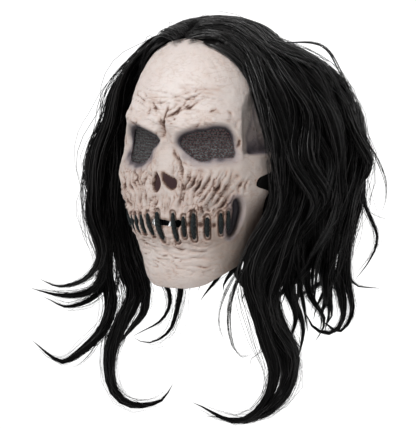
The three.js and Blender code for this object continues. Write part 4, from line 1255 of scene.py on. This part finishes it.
def curtain_path(turn_degrees, dice):
    """A lock that falls round the back, between the rows of the curtain's table."""
    turn = math.radians(turn_degrees)
    outward = np.array([math.sin(turn), -math.cos(turn), 0])
    sideways = np.array([math.cos(turn), math.sin(turn), 0])
    top = CURTAIN_ROOT_UP * CROWN_RISE
    fall = curtain_value("fall", turn_degrees) * HAIR_FALL * dice.uniform(0.9, 1.02)
    billow = curtain_value("billow", turn_degrees) * HAIR_SPREAD * dice.uniform(0.6, 1.0)
    wave = curtain_value("wave", turn_degrees) * HAIR_SPREAD * dice.uniform(0.7, 1.2)
    start = curtain_value("start", turn_degrees) + dice.uniform(-60, 60)
    way = combed(turn_degrees, CURTAIN_ROOT_UP, ROOT_LIFT, dice.uniform(-6, 6))
    for t in np.linspace(0.12, 1, 9):
        z = top + (-fall - top) * t
        head = float(form_radius(turn, np.float64(max(z, -0.3 * JAW_DROP)), 0))
        out = billow * math.sin(math.pi * min(t * 1.05, 1) ** 0.8)
        swing = math.radians(start + 600 * t)
        swell = wave * float(step(0.15, 0.7, t))
        spot = outward * (head + out + 0.5 * swell * math.cos(swing)) + sideways * swell * math.sin(swing)
        spot[2] = z
        way.append(tuple(spot))
    return smooth_path(way, CORE_STEPS)


def tail_path(row):
    """A listed lock: from its root on the scalp through its row's points."""
    view = math.radians(HAIR_VIEW_TURN)
    across = np.array([math.cos(view), math.sin(view), 0])
    toward = np.array([math.sin(view), -math.cos(view), 0])
    way = combed(row["turn"], row["up"], ROOT_LIFT, 0)
    for x, y, up in row["points"]:
        spot = across * x * HAIR_SPREAD + toward * y * HAIR_SPREAD
        way.append((spot[0], spot[1], up * HAIR_FALL))
    return smooth_path(way, CORE_STEPS)


def wavy(path, swell, dice):
    """Gives a lock's way waves that grow toward its tip."""
    _, side, lift = frames_along(path, path[0])
    run = np.concatenate([[0], np.cumsum(np.linalg.norm(np.diff(path, axis=0), axis=1))])
    t = np.linspace(0, 1, len(path))
    size = swell * step(0.2, 0.65, t)
    turn = 2 * np.pi * run / dice.uniform(70, 130)
    first, second = dice.uniform(0, 2 * np.pi, 2)
    sideways = (size * np.sin(turn + first))[:, None] * side
    return path + sideways + (0.6 * size * np.sin(turn + second))[:, None] * lift


def lock_sizes(width, thickness, count):
    """Half width and half thickness of a lock along its length."""
    t = np.linspace(0, 1, count)
    fullness = (0.62 + 0.38 * step(0.1, 0.45, t)) * (1 - t**4.2) ** 1.25 + 0.02
    flat = 0.3 + 0.7 * step(0.25, 0.5, t)
    return width / 2 * fullness, thickness / 2 * fullness * flat


def add_core(bm, path, width, thickness, layers, number, dice):
    """The dense middle of a lock, grooved like a twisted bunch."""
    half_width, half_thickness = lock_sizes(width, thickness, len(path))
    path = clear_of_head(path, 3.0)
    _, side, lift = frames_along(path, path[0])
    t = np.linspace(0, 1, len(path))
    grooves = int(dice.integers(4, 7))
    twist = dice.uniform(1.5, 4.0) * dice.choice((-1, 1))
    start = dice.uniform(0, 2 * np.pi)
    rings = []
    for k in range(CORE_SIDES):
        angle = 2 * np.pi * k / CORE_SIDES
        groove = 0.76 + 0.2 * np.cos(grooves * angle + twist * t + start) + 0.05 * np.cos(3 * angle - 9 * t)
        rings.append(path + (half_width * groove * math.cos(angle))[:, None] * side
                     + (half_thickness * groove * math.sin(angle))[:, None] * lift)
    rings = clear_of_head(np.stack(rings, 1), 1.2)
    first = len(bm.verts)
    add_tube(bm, path, rings)
    bm.verts.ensure_lookup_table()
    run = 12.0 * np.arange(len(path))
    for i in range(first, len(bm.verts)):
        ring, k = divmod(i - first - 1, CORE_SIDES)
        vertex = bm.verts[i]
        vertex[layers["across"]] = abs(k - CORE_SIDES / 2) * width * 0.16 + 71.0 * number
        vertex[layers["along"]] = run[min(max(ring + 1, 0), len(path) - 1)]


def strands_round(path, width, thickness, count, dice, curl=1.0, loose=0.0, bunches=6):
    """Strands that follow a lock in twisted bunches, each with its own place, length and curl."""
    half_width, half_thickness = lock_sizes(width, thickness, len(path))
    path = clear_of_head(path, 3.0)
    _, side, lift = frames_along(path, path[0])
    t = np.linspace(0, 1, STRAND_STEPS)[None]
    end = dice.uniform(0.7, 1.0, count) ** 0.6
    spots = t * end[:, None] * (len(path) - 1)
    low = np.minimum(spots.astype(int), len(path) - 2)
    part = (spots - low)[..., None]

    def along(values):
        return values[low] * (1 - part) + values[low + 1] * part

    which = dice.integers(0, bunches, count)
    angle = 2 * np.pi * (np.arange(bunches) + dice.uniform(-0.3, 0.3, bunches)) / bunches
    reach = dice.uniform(0.45, 0.9, bunches)
    phase = dice.uniform(0, 2 * np.pi, (bunches, 2))
    twist = dice.uniform(1.5, 4.0) * dice.choice((-1, 1))
    turned = angle[which][:, None] + twist * t
    own_angle = dice.uniform(0, 2 * np.pi, count)[:, None]
    own_reach = (dice.uniform(0, 1, count) ** 0.5 * (1 + loose * dice.exponential(0.5, count)))[:, None]
    gather = (0.6 - 0.3 * t) * own_reach
    a = reach[which][:, None] * np.cos(turned) + gather * np.cos(own_angle + 0.6 * twist * t)
    b = reach[which][:, None] * np.sin(turned) + gather * np.sin(own_angle + 0.6 * twist * t)
    a = a * along(half_width[:, None])[..., 0]
    b = b * along(half_thickness[:, None])[..., 0]
    sway = curl * (0.3 + 2.4 * t**1.2)
    speed = dice.uniform(2.0, 4.0)
    a = a + sway * np.sin(2 * np.pi * speed * t + phase[which][:, :1])
    b = b + 0.6 * sway * np.sin(2 * np.pi * speed * t + phase[which][:, 1:])
    own_phase = dice.uniform(0, 2 * np.pi, (count, 2))
    own_speed = dice.uniform(1.0, 5.0, (count, 2))
    stray = curl * (0.25 + 1.1 * t) * (0.4 + loose)
    a = a + stray * np.sin(2 * np.pi * own_speed[:, :1] * t + own_phase[:, :1])
    b = b + stray * np.sin(2 * np.pi * own_speed[:, 1:] * t + own_phase[:, 1:])
    points = along(path) + a[..., None] * along(side) + b[..., None] * along(lift)
    return clear_of_head(points, 1.4)


def hair_piece(name, strands, dice, finish, thin=1.0, highlight_rarity=2.0):
    """All strands of a piece as three-sided tubes that close in a point at both ends."""
    strands = np.concatenate(strands)
    count, steps, _ = strands.shape
    along = np.gradient(strands, axis=1)
    along /= np.linalg.norm(along, axis=2, keepdims=True) + 1e-9
    across = np.cross(along, (0.31, 0.42, 0.85))
    across /= np.linalg.norm(across, axis=2, keepdims=True) + 1e-9
    other = np.cross(along, across)
    t = np.linspace(0, 1, steps)
    size = thin * STRAND_RADIUS * dice.uniform(0.6, 1.35, (count, 1)) * (1 - 0.75 * t**3)[None]
    rings = [strands + size[..., None] * (math.cos(k) * across + math.sin(k) * other)
             for k in (0, 2 * math.pi / 3, 4 * math.pi / 3)]
    rings = np.stack(rings, 2)[:, 1:-1].reshape(count, -1, 3)
    points = np.concatenate([strands[:, :1], rings, strands[:, -1:]], 1)
    each = points.shape[1]
    faces = []
    for k in range(3):
        n = (k + 1) % 3
        faces.append((0, 1 + n, 1 + k))
        for ring in range(steps - 3):
            base = 1 + 3 * ring
            faces.append((base + k, base + n, base + 3 + n))
            faces.append((base + k, base + 3 + n, base + 3 + k))
        base = 1 + 3 * (steps - 3)
        faces.append((base + k, base + n, each - 1))
    faces = np.array(faces)[None] + each * np.arange(count)[:, None, None]
    mesh = bpy.data.meshes.new(name)
    mesh.from_pydata(to_row(points.reshape(-1, 3)), [], faces.reshape(-1, 3).tolist())
    mesh.polygons.foreach_set("use_smooth", [True] * len(mesh.polygons))
    # each strand's tone, partly its own and partly a painted highlight; the larger the power, the fewer the
    # light strands
    tone_and_highlight = np.repeat(dice.uniform(0, 1, count) ** highlight_rarity, each).astype(np.float32)
    mesh.attributes.new("strand", "FLOAT", "POINT").data.foreach_set("value", tone_and_highlight)
    piece = link(name, mesh, [finish])
    return piece


def hair_front(z):
    return np.where(z >= EDGE_TOP, 0, calm_edge(z) + PIECE_GAP)


def coat_depth(behind):
    """The hair's coat lies over the form, thinner at the hairline."""
    return -(HAIRLINE_COAT + (HAIR_COAT - HAIRLINE_COAT) * step(0, 24, behind))


def lay_locks(dice):
    """Every lock's way, width and thickness, by the side on which it falls."""
    turns = np.linspace(86, 262, CURTAIN_LOCKS) + dice.uniform(-2, 2, CURTAIN_LOCKS)
    locks = {"left": [], "right": [], "back": []}
    for turn in turns:
        group = "left" if turn < 140 else "right" if turn > 215 else "back"
        width = LOCK_WIDTH * dice.uniform(0.9, 1.2)
        path = wavy(curtain_path(turn, dice), 9.0, dice)
        locks[group].append((path, width, LOCK_THICKNESS * dice.uniform(0.8, 1.1)))
    for row in TAILS + FILL:
        group = "left" if row["turn"] < 180 else "right"
        path = wavy(tail_path(row), 3.4, dice)
        width, thickness = row["width"] * LOCK_WIDTH, row["thick"] * LOCK_THICKNESS
        locks[group].append((path, TAIL_FULLNESS * width, TAIL_FULLNESS * thickness))
    return locks


def build_cores(locks, dice, finish):
    bm = bmesh.new()
    layers = {key: bm.verts.layers.float.new(key) for key in ("across", "along")}
    number = 0
    for group in locks.values():
        for path, width, thickness in group:
            number += 1
            add_core(bm, path, 0.72 * width, 0.75 * thickness, layers, number, dice)
    bmesh.ops.recalc_face_normals(bm, faces=bm.faces)
    core = link("hair_locks", finish_mesh(bm, "hair_locks"), [finish])


def build_flyaways(locks, dice, finish):
    """Loose hair off the side locks, and the wisps."""
    loose = []
    for group in ("left", "right"):
        for path, width, thickness in locks[group]:
            loose.append(strands_round(path, 1.2 * width, 1.7 * thickness, 8, dice, 2.6, 0.7))
    for row in WISPS:
        path = wavy(tail_path(row), 0.6, dice)
        count = int(STRANDS_PER_WISP * row["width"])
        width, thickness = row["width"] * LOCK_WIDTH, row["thick"] * LOCK_THICKNESS
        loose.append(strands_round(path, width, thickness, count, dice, 0.4, 0.2, 3))
    hair_piece("hair_flyaways", loose, dice, finish, 0.85)


def build_crown(dice, finish):
    """Hair combed from the parting down over the coat."""
    crown = []
    for turn in np.linspace(58, 302, 54):
        root = combed(turn, 0.72, HAIR_COAT + 0.4, dice.uniform(-10, 10))
        lower = combed(min(max(turn, 75), 285), 0.3, HAIR_COAT + 0.8, 0)[-1]
        path = smooth_path(root + [lower], CORE_STEPS)
        crown.append(strands_round(path, 20, 4, 14, dice, 0.8, 0.3, 4))
    # the crown gets more light strands: a painted highlight on the top of the head
    hair_piece("hair_crown", crown, dice, finish, 1.0, 0.8)


def build_front_edge(dice, finish):
    edge = []
    for side in (-1, 1):
        for behind in np.linspace(1.2, 30, 13):
            path = along_hairline(side, behind, HAIRLINE_COAT + 0.2 * behind)
            edge.append(strands_round(path, 7, 3, 17, dice, 0.5, 0.2, 4))
    hair_piece("hair_front_edge", edge, dice, finish)


def build_hair(finish, mass_finish):
    dice = np.random.default_rng(7)
    layer = build_sheet_behind(
        "hair_coat", COAT_ACROSS, COAT_UP, coat_depth, hair_front, mass_finish, "hair")
    thicken(layer, COAT_WALL)
    locks = lay_locks(dice)
    build_cores(locks, dice, mass_finish)
    for group, rows in locks.items():
        strands = []
        for path, width, thickness in rows:
            count = int(STRANDS_PER_LOCK[group] * (0.45 + 0.55 * width / LOCK_WIDTH))
            strands.append(strands_round(path, width, thickness, count, dice, 1.0, 0.25))
        hair_piece("hair_strands_" + group, strands, dice, finish)
    build_flyaways(locks, dice, finish)
    build_crown(dice, finish)
    build_front_edge(dice, finish)


def cap_front(z):
    """The cap's front edge, which closes over the forehead."""
    open_front = 1 - step(EDGE_TOP - 3 * NOTCH_DEPTH, EDGE_TOP - NOTCH_DEPTH, z)
    full = calm_edge(z) - notch_bite(z) + PIECE_GAP
    return np.where(z >= EDGE_TOP, 0, full * np.maximum(open_front, (z < EDGE_TOP)))


def build_cap(finish):
    cap = build_sheet_behind(
        "cap_cloth", CAP_ACROSS, CAP_UP, np.zeros_like, cap_front, finish, "wig_cap")
    cap.data.materials.append(bpy.data.materials["bare_latex"])
    return thicken(cap, CAP_WALL, inner_material=1)


def build_stage():
    """A pale floor that curves up into a backdrop, all round."""
    floor_z = size_before[0].z - 0.12
    wall, rise, bend = 4.0, 6.0, 1.5
    bm = bmesh.new()
    profile = [(0.0, floor_z), (wall - bend, floor_z)]
    for k in range(1, 9):
        angle = k / 8 * math.pi / 2
        profile.append((wall - bend + bend * math.sin(angle), floor_z + bend - bend * math.cos(angle)))
    profile.append((wall, floor_z + rise))
    verts = [bm.verts.new((x, 0, z)) for x, z in profile]
    edges = [bm.edges.new(pair) for pair in zip(verts, verts[1:])]
    bmesh.ops.spin(bm, geom=verts + edges, cent=(0, 0, 0), axis=(0, 0, 1), angle=2 * math.pi, steps=48,
                   use_merge=True)
    bmesh.ops.remove_doubles(bm, verts=bm.verts, dist=0.001)
    mesh = bpy.data.meshes.new("backdrop")
    bm.to_mesh(mesh)
    bm.free()
    f = Finish("backdrop")
    depth, height = [f.node("ShaderNodeSeparateXYZ", {}, {0: f.place()}, axis) for axis in (1, 2)]
    ceiling = spread(height, floor_z + 2.2, floor_z + 3.2)
    glow = f.mix(spread(depth, -1.5, 1.5), BACKDROP_FRONT, BACKDROP_BEHIND)
    glow = f.mix(ceiling, glow, BACKDROP_CEILING)
    f.set(Base_Color=(0.3, 0.3, 0.3, 1), Roughness=0.95, Specular_IOR_Level=0.0)
    mesh.materials.append(f.set(Emission_Color=glow, Emission_Strength=1.0))
    backdrop = bpy.data.objects.new("backdrop", mesh)
    bpy.context.scene.collection.objects.link(backdrop)


def add_softbox(name, spot, aim, size, power):
    light = bpy.data.lights.new(name, "AREA")
    light.shape = "DISK"
    light.size = size
    light.energy = power
    lamp = bpy.data.objects.new(name, light)
    lamp.location = spot
    lamp.rotation_euler = (Vector(aim) - Vector(spot)).to_track_quat("-Z", "Y").to_euler()
    bpy.context.scene.collection.objects.link(lamp)


def light_and_camera():
    """The photograph's camera, three softboxes round the face and a pale world."""
    eye_line = Vector((0, 0, LOWERED * MM))
    azimuth, elevation = math.radians(VIEW_TURN), math.radians(VIEW_RISE)
    back = Vector((
        math.sin(azimuth) * math.cos(elevation),
        -math.cos(azimuth) * math.cos(elevation),
        math.sin(elevation),
    ))
    right = Vector((math.cos(azimuth), math.sin(azimuth), 0))
    over = right.cross(back) * -1
    aim = eye_line - right * AIM_LEFT - over * AIM_DOWN
    camera = bpy.data.objects.new("camera", bpy.data.cameras.new("camera"))
    camera.location = eye_line + back * VIEW_DISTANCE
    camera.rotation_euler = (aim - camera.location).to_track_quat("-Z", "Y").to_euler()
    camera.data.sensor_width = 36
    camera.data.lens = camera.data.sensor_width * VIEW_DISTANCE / VIEW_WIDTH
    bpy.context.scene.collection.objects.link(camera)
    bpy.context.scene.camera = camera
    face = eye_line + Vector((0, -0.08, -0.02))
    for row in LIGHTS:
        spot = face + back * row["toward"] + right * row["right"] + over * row["up"]
        add_softbox(row["name"], spot, face, row["size"], row["power"])
    bpy.context.scene.view_settings.view_transform = "Standard"
    world = bpy.data.worlds.new("studio")
    world.use_nodes = True
    world.node_tree.nodes["Background"].inputs[0].default_value = (1, 1, 1, 1)
    world.node_tree.nodes["Background"].inputs[1].default_value = 0.2
    bpy.context.scene.world = world


build_face()
net = net_finish()
for side, outline in zip(("left", "right"), EYES):
    build_net(side, outline, net)
cord = cord_finish()
for number, row in enumerate(STITCHES, 1):
    build_stitch(number, row, cord)
build_cap(cloth_finish())
build_hair(hair_finish(), hair_mass_finish())
build_stage()
light_and_camera()
